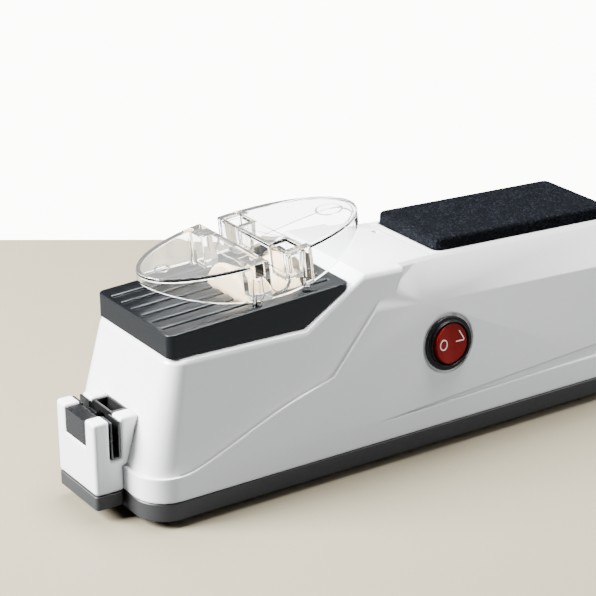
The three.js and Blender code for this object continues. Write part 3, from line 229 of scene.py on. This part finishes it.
def group_shell(name, inputs):
    """A group with these inputs, colours or numbers, and the three outputs that all groups here have."""
    group = bpy.data.node_groups.new(name, "ShaderNodeTree")
    for label, value in inputs.items():
        kind = "NodeSocketColor" if isinstance(value, tuple) else "NodeSocketFloat"
        socket = group.interface.new_socket(label, in_out="INPUT", socket_type=kind)
        socket.default_value = (*value, 1.0) if isinstance(value, tuple) else value
    group.interface.new_socket("Colour", in_out="OUTPUT", socket_type="NodeSocketColor")
    group.interface.new_socket("Roughness", in_out="OUTPUT", socket_type="NodeSocketFloat")
    group.interface.new_socket("Height", in_out="OUTPUT", socket_type="NodeSocketFloat")
    entry = group.nodes.new("NodeGroupInput")
    leave = group.nodes.new("NodeGroupOutput")
    return group, entry.outputs, leave


@made_once("node_groups", "Moulded surface")
def mould_group(name):
    """Moulded plastic: a slow drift of tone, a spread of roughness and the fine grain of the mould."""
    group, entry, leave = group_shell(name, {
        "Colour": (0.5, 0.5, 0.5), "Shade": (0.4, 0.4, 0.4), "Roughness": 0.4, "Roughness Spread": 0.06,
        "Grain Scale": 2500.0,
    })
    place = object_place(group)
    drift = noise(group, place, scale=38, detail=4, roughness=0.55)
    smear = noise(group, place, scale=160, detail=5, roughness=0.6)
    change = maths(group, "SUBTRACT", smear, 0.5)
    feed(group, leave, {
        "Colour": blend_colours(group, drift, entry["Colour"], entry["Shade"]),
        "Roughness": maths(group, "MULTIPLY_ADD", change, entry["Roughness Spread"], entry["Roughness"]),
        "Height": noise(group, place, scale=entry["Grain Scale"], detail=2, roughness=0.6),
    })
    return group


@made_once("node_groups", "Bonded grit")
def grit_group(name):
    """Bonded abrasive: packed grains, of which a few are lighter, with a rough height."""
    group, entry, leave = group_shell(name, {
        "Colour": (0.02, 0.02, 0.02), "Sparkle": (0.2, 0.2, 0.2), "Grain Scale": 2200.0,
    })
    place = object_place(group)
    grains = group.nodes.new("ShaderNodeTexVoronoi")
    feed(group, grains, {"Vector": place, "Scale": entry["Grain Scale"]})
    chance = group.nodes.new("ShaderNodeSeparateColor")
    feed(group, chance, {"Color": grains.outputs["Color"]})
    few = spread(group, chance.outputs["Red"], (0.72, 1.0))
    cloud = noise(group, place, scale=300, detail=4, roughness=0.6)
    patch = spread(group, cloud, (0.3, 0.75), (0.35, 1.0))
    sparkle = maths(group, "MULTIPLY", few, patch)
    feed(group, leave, {
        "Colour": blend_colours(group, sparkle, entry["Colour"], entry["Sparkle"]),
        "Roughness": spread(group, chance.outputs["Green"], (0.0, 1.0), (0.62, 0.95)),
        "Height": maths(group, "SUBTRACT", chance.outputs["Blue"], grains.outputs["Distance"]),
    })
    return group


@made_once("node_groups", "Brushed lines")
def brush_group(name):
    """Drawn or turned metal: fine lines along X with a spread of roughness."""
    group, entry, leave = group_shell(name, {"Colour": (0.6, 0.6, 0.6), "Roughness": 0.3})
    stretch = group.nodes.new("ShaderNodeMapping")
    stretch.inputs["Scale"].default_value = (120, 2600, 2600)
    feed(group, stretch, {"Vector": object_place(group)})
    lines = noise(group, stretch.outputs["Vector"], scale=1, detail=3, roughness=0.6)
    darker = group.nodes.new("ShaderNodeHueSaturation")
    feed(group, darker, {"Color": entry["Colour"], "Value": spread(group, lines, (0.2, 0.8), (0.82, 1.08))})
    change = spread(group, lines, (0.2, 0.8), (-0.08, 0.12))
    feed(group, leave, {
        "Colour": darker.outputs["Color"], "Roughness": maths(group, "ADD", entry["Roughness"], change),
        "Height": lines,
    })
    return group


# Materials

WHITE = (1, 1, 1)
# How many rays look round a spot for an edge that is rounded in the material alone
EDGE_SAMPLES = 6


def surface(name):
    """A new material, its nodes and its shader."""
    material = bpy.data.materials.new(name)
    material.use_nodes = True
    tree = material.node_tree
    return material, tree, tree.nodes["Principled BSDF"]


def placed(tree, group, values):
    """Places a shared group among a material's nodes, and gives its outputs."""
    node = tree.nodes.new("ShaderNodeGroup")
    node.node_tree = group
    feed(tree, node, values)
    return node.outputs


def dress(tree, shader, group, values, strength, height, round_edges=0.0):
    """Feeds a shared group's colour and roughness to the shader, and its height as a bump.

    The bump may lie over edges that are rounded in the material alone."""
    look = placed(tree, group, values)
    bump = tree.nodes.new("ShaderNodeBump")
    feed(tree, bump, {"Strength": strength, "Distance": height, "Height": look["Height"]})
    if round_edges:
        soften = tree.nodes.new("ShaderNodeBevel")
        soften.samples = EDGE_SAMPLES
        feed(tree, soften, {"Radius": round_edges})
        feed(tree, bump, {"Normal": soften.outputs["Normal"]})
    feed(tree, shader, {
        "Base Color": look["Colour"], "Roughness": look["Roughness"], "Normal": bump.outputs["Normal"],
    })


def tinted(base, amount):
    """A colour, each of whose channels is this share of the base's."""
    return tuple(channel * amount for channel in base)


@made_once("materials", "White shell plastic")
def white_shell(name):
    material, tree, shader = surface(name)
    base = colours().shell
    dress(tree, shader, mould_group(), {
        "Colour": base, "Shade": tinted(base, 0.975), "Roughness": finish().shell_roughness,
        "Roughness Spread": 0.06, "Grain Scale": 1400.0,
    }, strength=0.05, height=0.00004, round_edges=edges().shell)
    feed(tree, shader, {"Coat Weight": 0.6, "Coat Roughness": 0.15})
    return material


def satin(name, base, shade=0.85, grain=2600.0, roughness=None, shine=0.5, shine_tint=WHITE, coat=0.0):
    """Dull moulded plastic, which drifts between its colour and a share of it."""
    material, tree, shader = surface(name)
    dress(tree, shader, mould_group(), {
        "Colour": base, "Shade": tinted(base, shade), "Roughness": roughness or finish().satin_roughness,
        "Roughness Spread": 0.09, "Grain Scale": grain,
    }, strength=finish().grain_strength, height=0.00005)
    feed(tree, shader, {"Specular IOR Level": shine, "Specular Tint": shine_tint, "Coat Weight": coat})
    return material


@made_once("materials", "Tray grey plastic")
def tray_grey(name):
    return satin(name, colours().tray, shine=0.6)


@made_once("materials", "Deck grey plastic")
def deck_grey(name):
    return satin(name, colours().deck, shade=0.8, grain=2200.0, roughness=0.3, shine=0.36,
                 shine_tint=(0.88, 0.95, 1.0))


@made_once("materials", "Insert grey plastic")
def insert_grey(name):
    return satin(name, colours().insert, roughness=0.27, shine=0.6)


@made_once("materials", "Black plastic")
def black_plastic(name):
    return satin(name, colours().black, shine=0.2, coat=0.15)


@made_once("materials", "Rubber")
def rubber(name):
    return satin(name, (0.018, 0.018, 0.018), shade=0.7, grain=1800.0, shine=0.3)


@made_once("materials", "Rocker red plastic")
def rocker_red(name):
    material, tree, shader = surface(name)
    base = colours().rocker
    dress(tree, shader, mould_group(), {
        "Colour": base, "Shade": tinted(base, 0.8), "Roughness": 0.3, "Roughness Spread": 0.1,
        "Grain Scale": 2000.0,
    }, strength=0.08, height=0.00004)
    feed(tree, shader, {"Specular IOR Level": 0.12})
    return material


@made_once("materials", "Mark paint")
def mark_paint(name):
    return satin(name, colours().mark, shade=0.94, grain=3000.0)


@made_once("materials", "Board green")
def board_green(name):
    return satin(name, (0.015, 0.11, 0.045), shade=0.7, grain=900.0)


@made_once("materials", "Foam tape")
def foam(name):
    return satin(name, (0.02, 0.02, 0.02), shade=0.6, grain=1500.0)


@made_once("materials", "Clear plastic")
def clear_plastic(name):
    """The cover's plastic, which lets light past to what lies under it."""
    material, tree, shader = surface(name)
    tint = colours().cover
    drift = placed(tree, mould_group(), {"Colour": tint, "Shade": tinted(tint, 0.96)})
    feed(tree, shader, {
        "Base Color": drift["Colour"], "Roughness": finish().cover_roughness, "Transmission Weight": 1.0,
        "IOR": 1.49,
    })
    passing = tree.nodes.new("ShaderNodeBsdfTransparent")
    feed(tree, passing, {"Color": (0.90, 0.91, 0.92)})
    ray = tree.nodes.new("ShaderNodeLightPath").outputs
    blend_shaders(tree, ray["Is Shadow Ray"], shader, passing)
    return material


def gritty(name, base, sparkle, scale, strength, height, shine=0.5, shine_tint=WHITE):
    """Bonded grains, a few of which sparkle."""
    material, tree, shader = surface(name)
    values = {"Colour": base, "Sparkle": sparkle, "Grain Scale": scale}
    dress(tree, shader, grit_group(), values, strength, height)
    feed(tree, shader, {"Specular IOR Level": shine, "Specular Tint": shine_tint})
    return material


@made_once("materials", "Stone grit")
def stone_grit(name):
    return gritty(name, colours().grit, colours().grit_spark, scale=1700.0,
                  strength=finish().grit_strength, height=0.0003, shine=0.062,
                  shine_tint=(0.74, 0.83, 1.0))


@made_once("materials", "Wheel ceramic")
def wheel_ceramic(name):
    base = colours().wheel
    return gritty(name, tinted(base, 0.8), tinted(base, 1.15), scale=2600.0, strength=0.6, height=0.0002)


def metal(name, base, roughness):
    """Bare metal, drawn or turned."""
    material, tree, shader = surface(name)
    values = {"Colour": base, "Roughness": roughness}
    dress(tree, shader, brush_group(), values, strength=0.2, height=0.00002)
    feed(tree, shader, {"Metallic": 1.0})
    return material


@made_once("materials", "Steel")
def steel(name):
    return metal(name, (0.58, 0.58, 0.59), roughness=0.28)


@made_once("materials", "Zinc plated steel")
def zinc(name):
    return metal(name, (0.46, 0.48, 0.50), roughness=0.38)


@made_once("materials", "Brass")
def brass(name):
    return metal(name, (0.72, 0.52, 0.22), roughness=0.3)


@made_once("materials", "Sintered bronze")
def bronze(name):
    return metal(name, (0.42, 0.25, 0.13), roughness=0.5)


@made_once("materials", "Ground carbide")
def carbide(name):
    return metal(name, (0.36, 0.37, 0.39), roughness=0.22)


@made_once("materials", "Floor")
def floor_finish(name):
    """The floor, which is less tinted and darker in the light that it throws back at the pieces."""
    material = satin(name, colours().floor, shade=0.96, grain=700.0, shine=0.1)
    tree = material.node_tree
    thrown = tree.nodes.new("ShaderNodeBsdfDiffuse")
    feed(tree, thrown, {"Color": colours().floor_bounce})
    ray = tree.nodes.new("ShaderNodeLightPath").outputs
    seen = maths(tree, "MAXIMUM", ray["Is Camera Ray"], ray["Is Transmission Ray"])
    blend_shaders(tree, seen, thrown, tree.nodes["Principled BSDF"])
    return material


# Pieces

# How near two corners of a mesh count as one, and within how many degrees two faces are one
MERGE_DISTANCE = 0.00001
FLAT_WITHIN = 0.5
# The crease angle, in degrees, at which no edge stays sharp
ALL_SMOOTH = 180
# How strongly a piece's large faces pull the normals beside them
LARGE_FACES = 60


def in_order(parts):
    """Each part of a mesh once, in the order in which they come, so that every run gives the same."""
    return list(dict.fromkeys(parts))


def merged_copy(node):
    """A copy of a CAD node's mesh with its loose triangles merged and its flat faces joined."""
    mesh = bmesh.new()
    mesh.from_mesh(frame["nodes"][node].data)
    bmesh.ops.remove_doubles(mesh, verts=mesh.verts, dist=MERGE_DISTANCE)
    bmesh.ops.dissolve_limit(
        mesh, angle_limit=radians(FLAT_WITHIN), verts=mesh.verts, edges=mesh.edges, delimit=set(),
    )
    return mesh


def make_object(name, mesh, material, body, replaced=(), crease=30):
    """Makes a finished mesh an object on its body, hiding the nodes it replaces: smooth, but for edges
    sharper than the crease.
    """
    data = bpy.data.meshes.new(name)
    mesh.to_mesh(data)
    mesh.free()
    data.polygons.foreach_set("use_smooth", [True] * len(data.polygons))
    data.set_sharp_from_angle(angle=radians(crease))
    data.materials.append(material)
    piece = bpy.data.objects.new(name, data)
    bpy.context.scene.collection.objects.link(piece)
    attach(piece, body)
    if replaced:
        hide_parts(*replaced)
    return piece


def rounded_node(node, material, radius, body="housing", segments=3, angle=32, share_of=None,
                 shaped=None):
    """A CAD node's own shape with its edges rounded, in place of the node.

    Edges sharper than the angle get the radius, or the share of it that share_of gives for an edge,
    and with no radius they stay sharp. A merged mesh that is already shaped may be given in place of
    the node's own."""
    mesh = shaped or merged_copy(node)
    if radius:
        weights = mesh.edges.layers.float.new("bevel_weight_edge")
        for edge in mesh.edges:
            if len(edge.link_faces) == 2 and edge.calc_face_angle() > radians(angle):
                edge[weights] = share_of(edge) if share_of else 1
    crease = ALL_SMOOTH if radius else angle
    piece = make_object(f"{node}_dressed", mesh, material, body, [node], crease)
    if radius:
        rounding = piece.modifiers.new("Rounded edges", "BEVEL")
        rounding.width = radius
        rounding.segments = segments
        rounding.limit_method = "WEIGHT"
        rounding.use_clamp_overlap = False
    normals = piece.modifiers.new("Even normals", "WEIGHTED_NORMAL")
    normals.keep_sharp = True
    normals.weight = LARGE_FACES
    return piece


def done(operator):
    """Ends an operator whose pieces are all made."""
    operator.report({"INFO"}, f"{operator.bl_label}: made")
    return {"FINISHED"}


class SHARPENER_OT_shell(Operator):
    """Make the white upper housing"""
    bl_idname = "sharpener.shell"
    bl_label = "Upper housing"

    def execute(self, context):
        # The white shell's own material rounds its edges, which lie too close together for a bevel
        rounded_node("upper_housing", white_shell(), radius=0, angle=19)
        return done(self)


class SHARPENER_OT_base(Operator):
    """Make the base tray, its feet and its screws"""
    bl_idname = "sharpener.base"
    bl_label = "Base tray and feet"

    def execute(self, context):
        rounded_node("base_tray", tray_grey(), edges().tray, angle=50)
        for i in (1, 2, 3, 4):
            rounded_node(f"rubber_foot_{i}", rubber(), edges().foot)
            rounded_node(f"base_screw_{i}", steel(), edges().fine)
        return done(self)


DECK_LOW, DECK_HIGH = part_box("grinding_deck")
# The radius of the corners of the deck's outline, and how near that outline an edge counts as its rim
DECK_CORNER = 0.003
DECK_RIM = 0.0004
# The share of the ribs' radius on the edges that stand on the housing
DECK_FOOT_SHARE = 0.2
# From which height of its normal a face counts as one that faces up, and below which as one of the foot
DECK_FACES_UP = 0.95
DECK_FACES_DOWN = -0.5
# How much the deck's top rises for each metre to the right, up to the highest corner of its box, and
# how far from that plane a point still counts as on it
DECK_TOP_RISE = 0.045
DECK_TOP_BAND = 0.0006
# The ribs: how many there are to each side of the middle one, how far the outermost ones lie from the
# deck's sides, the cuts along each, as shares of the pitch, and between which places at both ends
# their crowns begin
RIBS_ASIDE = 3
RIB_SIDE_BORDER = 0.00065
RIB_PITCH = 2 * (DECK_HIGH.y - RIB_SIDE_BORDER) / (2 * RIBS_ASIDE + 1)
RIB_CUT_SHARES = (-0.3, -0.15, 0, 0.15, 0.3)
RIB_LEFT = (-0.1004, -0.0988)
RIB_RIGHT = (-0.0262, -0.0240)


def on_deck_top(spot):
    """Whether a point lies on the deck's sloping top, and not in a groove or on the deck's side."""
    return abs(spot.z - DECK_HIGH.z + DECK_TOP_RISE * (DECK_HIGH.x - spot.x)) < DECK_TOP_BAND


def inside_deck(spot):
    """How far a point lies inside the deck's outline, which has round corners."""
    gaps = min(spot.x - DECK_LOW.x, DECK_HIGH.x - spot.x), DECK_HIGH.y - abs(spot.y)
    within = [DECK_CORNER - gap for gap in gaps]
    return DECK_CORNER - hypot(*within) if min(within) > 0 else min(gaps)


def crown_ribs(mesh, depth):
    """Cuts the deck's top lengthwise and lowers the sides of each rib, so that its crown is round."""
    def top_faces():
        return [face for face in mesh.faces
                if face.normal.z > DECK_FACES_UP and on_deck_top(face.verts[0].co)]

    def cut(place, across):
        parts = in_order(part for face in top_faces() for part in (face, *face.edges, *face.verts))
        bmesh.ops.bisect_plane(mesh, geom=parts, dist=MERGE_DISTANCE, plane_co=place, plane_no=across)

    for x in (*RIB_LEFT, *RIB_RIGHT):
        cut((x, 0, 0), (1, 0, 0))
    for rib in range(-RIBS_ASIDE, RIBS_ASIDE + 1):
        for cut_share in RIB_CUT_SHARES:
            cut((0, (rib + cut_share) * RIB_PITCH, 0), (0, 1, 0))
    for vert in in_order(vert for face in top_faces() for vert in face.verts):
        ribs_off = min(abs(vert.co.y) / RIB_PITCH, RIBS_ASIDE)
        from_crown = 2 * (ribs_off - round(ribs_off))
        past_left = (vert.co.x - RIB_LEFT[0]) / (RIB_LEFT[1] - RIB_LEFT[0])
        short_of_right = (RIB_RIGHT[1] - vert.co.x) / (RIB_RIGHT[1] - RIB_RIGHT[0])
        vert.co.z -= depth * from_crown ** 2 * max(0, min(1, past_left, short_of_right))
    mesh.normal_update()


class SHARPENER_OT_deck(Operator):
    """Make the ribbed grinding deck"""
    bl_idname = "sharpener.deck"
    bl_label = "Grinding deck"

    def execute(self, context):
        rim = edges().deck / edges().rib

        def share_of(edge):
            """Full on top, the rim's own along the outline, half of that under it, little at the foot."""
            if any(face.normal.z < DECK_FACES_DOWN for face in edge.link_faces):
                return DECK_FOOT_SHARE
            middle = (edge.verts[0].co + edge.verts[1].co) / 2
            inside = inside_deck(middle) > DECK_RIM
            faces_up = sum(face.normal.z > DECK_FACES_UP for face in edge.link_faces)
            if faces_up == 1 and on_deck_top(middle):
                return 1 if inside else rim
            return 0 if inside else rim / 2

        mesh = merged_copy("grinding_deck")
        crown_ribs(mesh, edges().rib_crown)
        rounded_node("grinding_deck", deck_grey(), edges().rib, angle=20, share_of=share_of,
                     shaped=mesh)
        return done(self)


# From which angle the cover's edges are rounded, and how near beside another one may leave a corner,
# both in degrees
COVER_EDGE_ANGLE = 35
COVER_EDGE_SPREAD = 30


class SHARPENER_OT_cover(Operator):
    """Make the clear winged cover"""
    bl_idname = "sharpener.cover"
    bl_label = "Clear cover"

    def execute(self, context):
        def share_of(edge):
            """None for an edge that leaves a corner close beside another: their roundings would cross."""
            for vert in edge.verts:
                way = edge.other_vert(vert).co - vert.co
                for other in vert.link_edges:
                    if other is edge or other.calc_face_angle() < radians(COVER_EDGE_ANGLE):
                        continue
                    if way.angle(other.other_vert(vert).co - vert.co) < radians(COVER_EDGE_SPREAD):
                        return 0
            return 1

        cover = rounded_node("guard_cover", clear_plastic(), edges().cover, body="guard",
                             angle=COVER_EDGE_ANGLE, share_of=share_of)
        cover.modifiers["Rounded edges"].loop_slide = False
        return done(self)


class SHARPENER_OT_wheel(Operator):
    """Make the grinding wheel with its collet, shaft, bush and post"""
    bl_idname = "sharpener.wheel"
    bl_label = "Grinding wheel"

    def execute(self, context):
        fine = edges().fine
        rounded_node("grinding_wheel", wheel_ceramic(), fine, body="rotor", segments=2)
        rounded_node("wheel_collet", brass(), fine, body="rotor", segments=2)
        rounded_node("motor_shaft", steel(), fine, body="rotor", segments=2)
        rounded_node("bearing_post", tray_grey(), fine)
        rounded_node("shaft_bush", bronze(), fine, segments=2)
        return done(self)


class SHARPENER_OT_motor(Operator):
    """Make the motor, its bracket and their screws"""
    bl_idname = "sharpener.motor"
    bl_label = "Motor"

    def execute(self, context):
        fine = edges().fine
        rounded_node("motor_can", zinc(), fine, segments=2)
        rounded_node("motor_end_cap", black_plastic(), fine, segments=2)
        rounded_node("motor_plate", zinc(), fine, segments=2)
        for i in (1, 2):
            rounded_node(f"motor_tag_{i}", brass(), edges().thin, segments=2)
            rounded_node(f"motor_screw_{i}", steel(), fine, segments=2)
            rounded_node(f"plate_screw_{i}", steel(), fine, segments=2)
        return done(self)


class SHARPENER_OT_stone(Operator):
    """Make the whetstone and the sheet under it"""
    bl_idname = "sharpener.stone"
    bl_label = "Whetstone"

    def execute(self, context):
        rounded_node("whetstone", stone_grit(), edges().stone, angle=25)
        rounded_node("stone_adhesive", foam(), radius=0)
        return done(self)


# The rocker's pivot, that pivot's direction, and the way the rocker faces, square to it and level in X
ROCKER_JOINT = next(joint for joint in frame["joints"] if joint["name"] == "switch_rock")
ROCKER_PIVOT = Vector(ROCKER_JOINT["pos_m"])
ROCKER_AXIS = Vector(ROCKER_JOINT["axis"]).normalized()
ROCKER_FACING = Vector((1, 0, 0)).cross(ROCKER_AXIS).normalized()
# The marks on it, by their places across and along the pivot: a ring's middle and radius, the two
# strokes of an angular mark, into how many lengths both are cut, and from how far off they are laid on
MARK_RING = (-0.0039, 0.0014)
MARK_RING_RADIUS = 0.0020
MARK_STROKES = (((0.0053, 0.0038), (0.0069, -0.0007)), ((0.0028, -0.0001), (0.0067, -0.0010)))
RING_LENGTHS = 28
STROKE_LENGTHS = 6
MARK_DROP = 0.02


def ring_mark(mesh, half):
    """A flat ring, spun round its middle from one small square."""
    middle = Vector((*MARK_RING, 0))
    place = Matrix.Translation(middle + Vector((MARK_RING_RADIUS, 0, 0))) @ Matrix.Rotation(pi / 2, 4, "X")
    square = bmesh.ops.create_circle(
        mesh, segments=4, radius=half * sqrt(2), matrix=place @ Matrix.Rotation(pi / 4, 4, "Z"),
    )["verts"]
    section = in_order(edge for vert in square for edge in vert.link_edges) + square
    bmesh.ops.spin(
        mesh, geom=section, cent=middle, axis=(0, 0, 1), angle=2 * pi, steps=RING_LENGTHS, use_merge=True,
    )


def stroke_mark(mesh, start, end, half):
    """A flat bar from one point to the other, cut across into short lengths."""
    start, end = Vector(start), Vector(end)
    run = end - start
    place = Matrix.Translation((*(start + end) / 2, 0))
    turn = Matrix.Rotation(run.angle_signed(Vector((1, 0))), 4, "Z")
    size = Matrix.Diagonal((run.length, half * 2, half * 2, 1))
    bar = bmesh.ops.create_cube(mesh, size=1, matrix=place @ turn @ size)["verts"]
    long_edges = in_order(
        edge for vert in bar for edge in vert.link_edges if edge.calc_length() > run.length / 2
    )
    bmesh.ops.subdivide_edges(mesh, edges=long_edges, cuts=STROKE_LENGTHS - 1, use_grid_fill=True)


def lay_on_rocker(mesh, face, height):
    """Lays flat marks on the rocker's face: their tops stand up by the height, their feet lie inside."""
    across = ROCKER_AXIS.cross(ROCKER_FACING)
    for vert in mesh.verts:
        above = ROCKER_PIVOT + across * vert.co.x + ROCKER_AXIS * vert.co.y + ROCKER_FACING * MARK_DROP
        spot = face.ray_cast(above, -ROCKER_FACING)[0]
        vert.co = spot + ROCKER_FACING * (height if vert.co.z > 0 else -height)


def rocker_marks():
    """The painted ring and angular stroke on the rocker."""
    rocker = merged_copy("switch_rocker")
    face = BVHTree.FromBMesh(rocker)
    rocker.free()
    half = edges().mark_stroke / 2
    marks = bmesh.new()
    ring_mark(marks, half)
    for start, end in MARK_STROKES:
        stroke_mark(marks, start, end, half)
    bmesh.ops.remove_doubles(marks, verts=marks.verts, dist=MERGE_DISTANCE)
    lay_on_rocker(marks, face, edges().mark_height)
    bmesh.ops.recalc_face_normals(marks, faces=marks.faces)
    return make_object("rocker_marks", marks, mark_paint(), "rocker")


class SHARPENER_OT_switch(Operator):
    """Make the round switch, its rocker and the marks on it"""
    bl_idname = "sharpener.switch"
    bl_label = "Rocker switch"

    def execute(self, context):
        rounded_node("switch_body", black_plastic(), edges().bezel, segments=4)
        rounded_node("switch_rocker", rocker_red(), edges().rocker, body="rocker", angle=20)
        rocker_marks()
        for i in (1, 2):
            rounded_node(f"switch_tag_{i}", brass(), edges().thin, segments=2)
        return done(self)


class SHARPENER_OT_hand_unit(Operator):
    """Make the hand unit on the left end"""
    bl_idname = "sharpener.hand_unit"
    bl_label = "Hand unit"

    def execute(self, context):
        fine = edges().fine
        rounded_node("unit_housing", white_shell(), edges().unit, angle=40)
        rounded_node("unit_base", tray_grey(), edges().unit_base, angle=40)
        rounded_node("saddle_insert", insert_grey(), fine, segments=2)
        rounded_node("carbide_holder", black_plastic(), fine, segments=2)
        for i in (1, 2):
            rounded_node(f"carbide_blade_{i}", carbide(), edges().thin, segments=2)
            rounded_node(f"unit_screw_{i}", steel(), fine, segments=2)
        return done(self)


class SHARPENER_OT_supply(Operator):
    """Make the supply board and the inlet"""
    bl_idname = "sharpener.supply"
    bl_label = "Supply"

    def execute(self, context):
        fine = edges().fine
        rounded_node("power_board", board_green(), fine, segments=2)
        rounded_node("board_capacitor", black_plastic(), fine, segments=2)
        rounded_node("dc_inlet", black_plastic(), fine, segments=2)
        return done(self)


# Stage

# The camera's place and direction come from the photograph's perspective
CAMERA_PLACE = Vector((-0.45870, -0.66797, 0.38240))
CAMERA_FORWARD = Vector((0.50455, 0.77949, -0.37126))
CAMERA_UP = Vector((0.21194, 0.30503, 0.92846))
CAMERA_LENS = 129.986
CAMERA_SENSOR = 36
# The floor ends in a straight edge behind the sharpener: how far off it is, the way that it faces,
# how far the floor reaches from it and to both sides, and into how many cells it is cut each way
FLOOR_BEHIND = 0.2265
FLOOR_BEARING = radians(34.727)
FLOOR_REACH = 3.0
FLOOR_CELLS = 8
# The soft lights: where each stands, what it points at and its two sides
LIGHTS = {
    "key": ((-0.83, 0.35, 0.62), (0, 0, 0.04), (0.5, 0.5)),
    "top": ((0.15, 0.10, 1.0), (0, 0, 0.04), (0.7, 0.5)),
    "fill": ((0.36, -0.30, 0.22), (0.07, 0, 0.05), (0.3, 0.25)),
}
# A depth below this one counts no bounce yet
NO_BOUNCE = 0.5


def lay_floor():
    """A flat floor that ends behind the sharpener, square to the way that its edge faces."""
    along = Vector((sin(FLOOR_BEARING), cos(FLOOR_BEARING), 0))
    up = Vector((0, 0, 1))
    place = Matrix.Translation(along * (FLOOR_BEHIND - FLOOR_REACH / 2))
    turn = Matrix((along.cross(up), along, up)).transposed().to_4x4()
    size = Matrix.Diagonal((FLOOR_REACH, FLOOR_REACH / 2, 1, 1))
    mesh = bmesh.new()
    bmesh.ops.create_grid(
        mesh, x_segments=FLOOR_CELLS, y_segments=FLOOR_CELLS, size=1, matrix=place @ turn @ size,
    )
    data = bpy.data.meshes.new("floor")
    mesh.to_mesh(data)
    mesh.free()
    data.materials.append(floor_finish())
    floor = bpy.data.objects.new("floor", data)
    bpy.context.scene.collection.objects.link(floor)


def set_world():
    """A dim light all round, behind which the backdrop is near white where it is looked at.

    Rays that turn inside the clear cover meet a middling brightness, and rays that its smooth
    surface throws back meet a brighter one."""
    scene = bpy.context.scene
    scene.world = scene.world or bpy.data.worlds.new("Studio")
    scene.world.use_nodes = True
    tree = scene.world.node_tree
    ray = tree.nodes.new("ShaderNodeLightPath").outputs
    undiffused = maths(tree, "LESS_THAN", ray["Diffuse Depth"], NO_BOUNCE)
    straight = maths(tree, "LESS_THAN", ray["Glossy Depth"], NO_BOUNCE)
    through = maths(tree, "MULTIPLY", ray["Is Transmission Ray"], undiffused)
    seen = maths(tree, "MAXIMUM", ray["Is Camera Ray"], maths(tree, "MULTIPLY", through, straight))
    turned = maths(tree, "MULTIPLY_ADD", through, finish().cover_light, finish().ambient)
    smooth = maths(tree, "MULTIPLY", ray["Is Singular Ray"], ray["Is Reflection Ray"])
    mirrored = maths(tree, "MULTIPLY_ADD", smooth, finish().cover_shine, turned)
    strength = maths(tree, "MULTIPLY_ADD", seen, finish().backdrop, mirrored)
    feed(tree, tree.nodes["Background"], {"Color": colours().backdrop, "Strength": strength})


def soft_light(name, place, target, sides):
    """A soft light, whose power is the finish of the same name."""
    data = bpy.data.lights.new(name, "AREA")
    data.shape = "RECTANGLE"
    data.size, data.size_y = sides
    data.energy = getattr(finish(), name)
    light = bpy.data.objects.new(name, data)
    bpy.context.scene.collection.objects.link(light)
    light.location = place
    light.rotation_euler = (Vector(target) - Vector(place)).to_track_quat("-Z", "Y").to_euler()


def place_camera():
    """A camera at the photograph's viewing angle."""
    data = bpy.data.cameras.new("camera")
    data.lens = CAMERA_LENS
    data.sensor_width = CAMERA_SENSOR
    camera = bpy.data.objects.new("camera", data)
    bpy.context.scene.collection.objects.link(camera)
    right = CAMERA_FORWARD.cross(CAMERA_UP).normalized()
    up = right.cross(CAMERA_FORWARD).normalized()
    axes = Matrix((right, up, -CAMERA_FORWARD.normalized())).transposed()
    camera.matrix_world = Matrix.Translation(CAMERA_PLACE) @ axes.to_4x4()
    bpy.context.scene.camera = camera


class SHARPENER_OT_stage(Operator):
    """Make the floor, the lights and the camera"""
    bl_idname = "sharpener.stage"
    bl_label = "Stage"

    def execute(self, context):
        lay_floor()
        set_world()
        for name, light in LIGHTS.items():
            soft_light(name, *light)
        place_camera()
        return done(self)


# The add-on

PIECE_OPERATORS = (
    SHARPENER_OT_shell, SHARPENER_OT_base, SHARPENER_OT_deck, SHARPENER_OT_cover, SHARPENER_OT_wheel,
    SHARPENER_OT_motor, SHARPENER_OT_stone, SHARPENER_OT_switch, SHARPENER_OT_hand_unit,
    SHARPENER_OT_supply, SHARPENER_OT_stage,
)
GROUPS = {
    "sharpener_edges": SharpenerEdges, "sharpener_colours": SharpenerColours,
    "sharpener_finish": SharpenerFinish,
}


class SHARPENER_PT_panel(Panel):
    """Lists the sharpener's pieces, sizes and colours"""
    bl_label = "Sharpener"
    bl_idname = "SHARPENER_PT_panel"
    bl_space_type = "VIEW_3D"
    bl_region_type = "UI"
    bl_category = "Sharpener"

    def draw(self, context):
        column = self.layout.column()
        for operator in PIECE_OPERATORS:
            column.operator(operator.bl_idname)
        for name, kind in GROUPS.items():
            for value in kind.__annotations__:
                column.prop(getattr(context.scene, name), value)


CLASSES = (*GROUPS.values(), *PIECE_OPERATORS, SHARPENER_PT_panel)


def register():
    for item in CLASSES:
        bpy.utils.register_class(item)
    for name, kind in GROUPS.items():
        setattr(bpy.types.Scene, name, PointerProperty(type=kind))


def unregister():
    for name in GROUPS:
        delattr(bpy.types.Scene, name)
    for item in reversed(CLASSES):
        bpy.utils.unregister_class(item)


def main():
    register()
    for operator in PIECE_OPERATORS:
        group, name = operator.bl_idname.split(".")
        getattr(getattr(bpy.ops, group), name)()


if __name__ == "__main__":
    main()
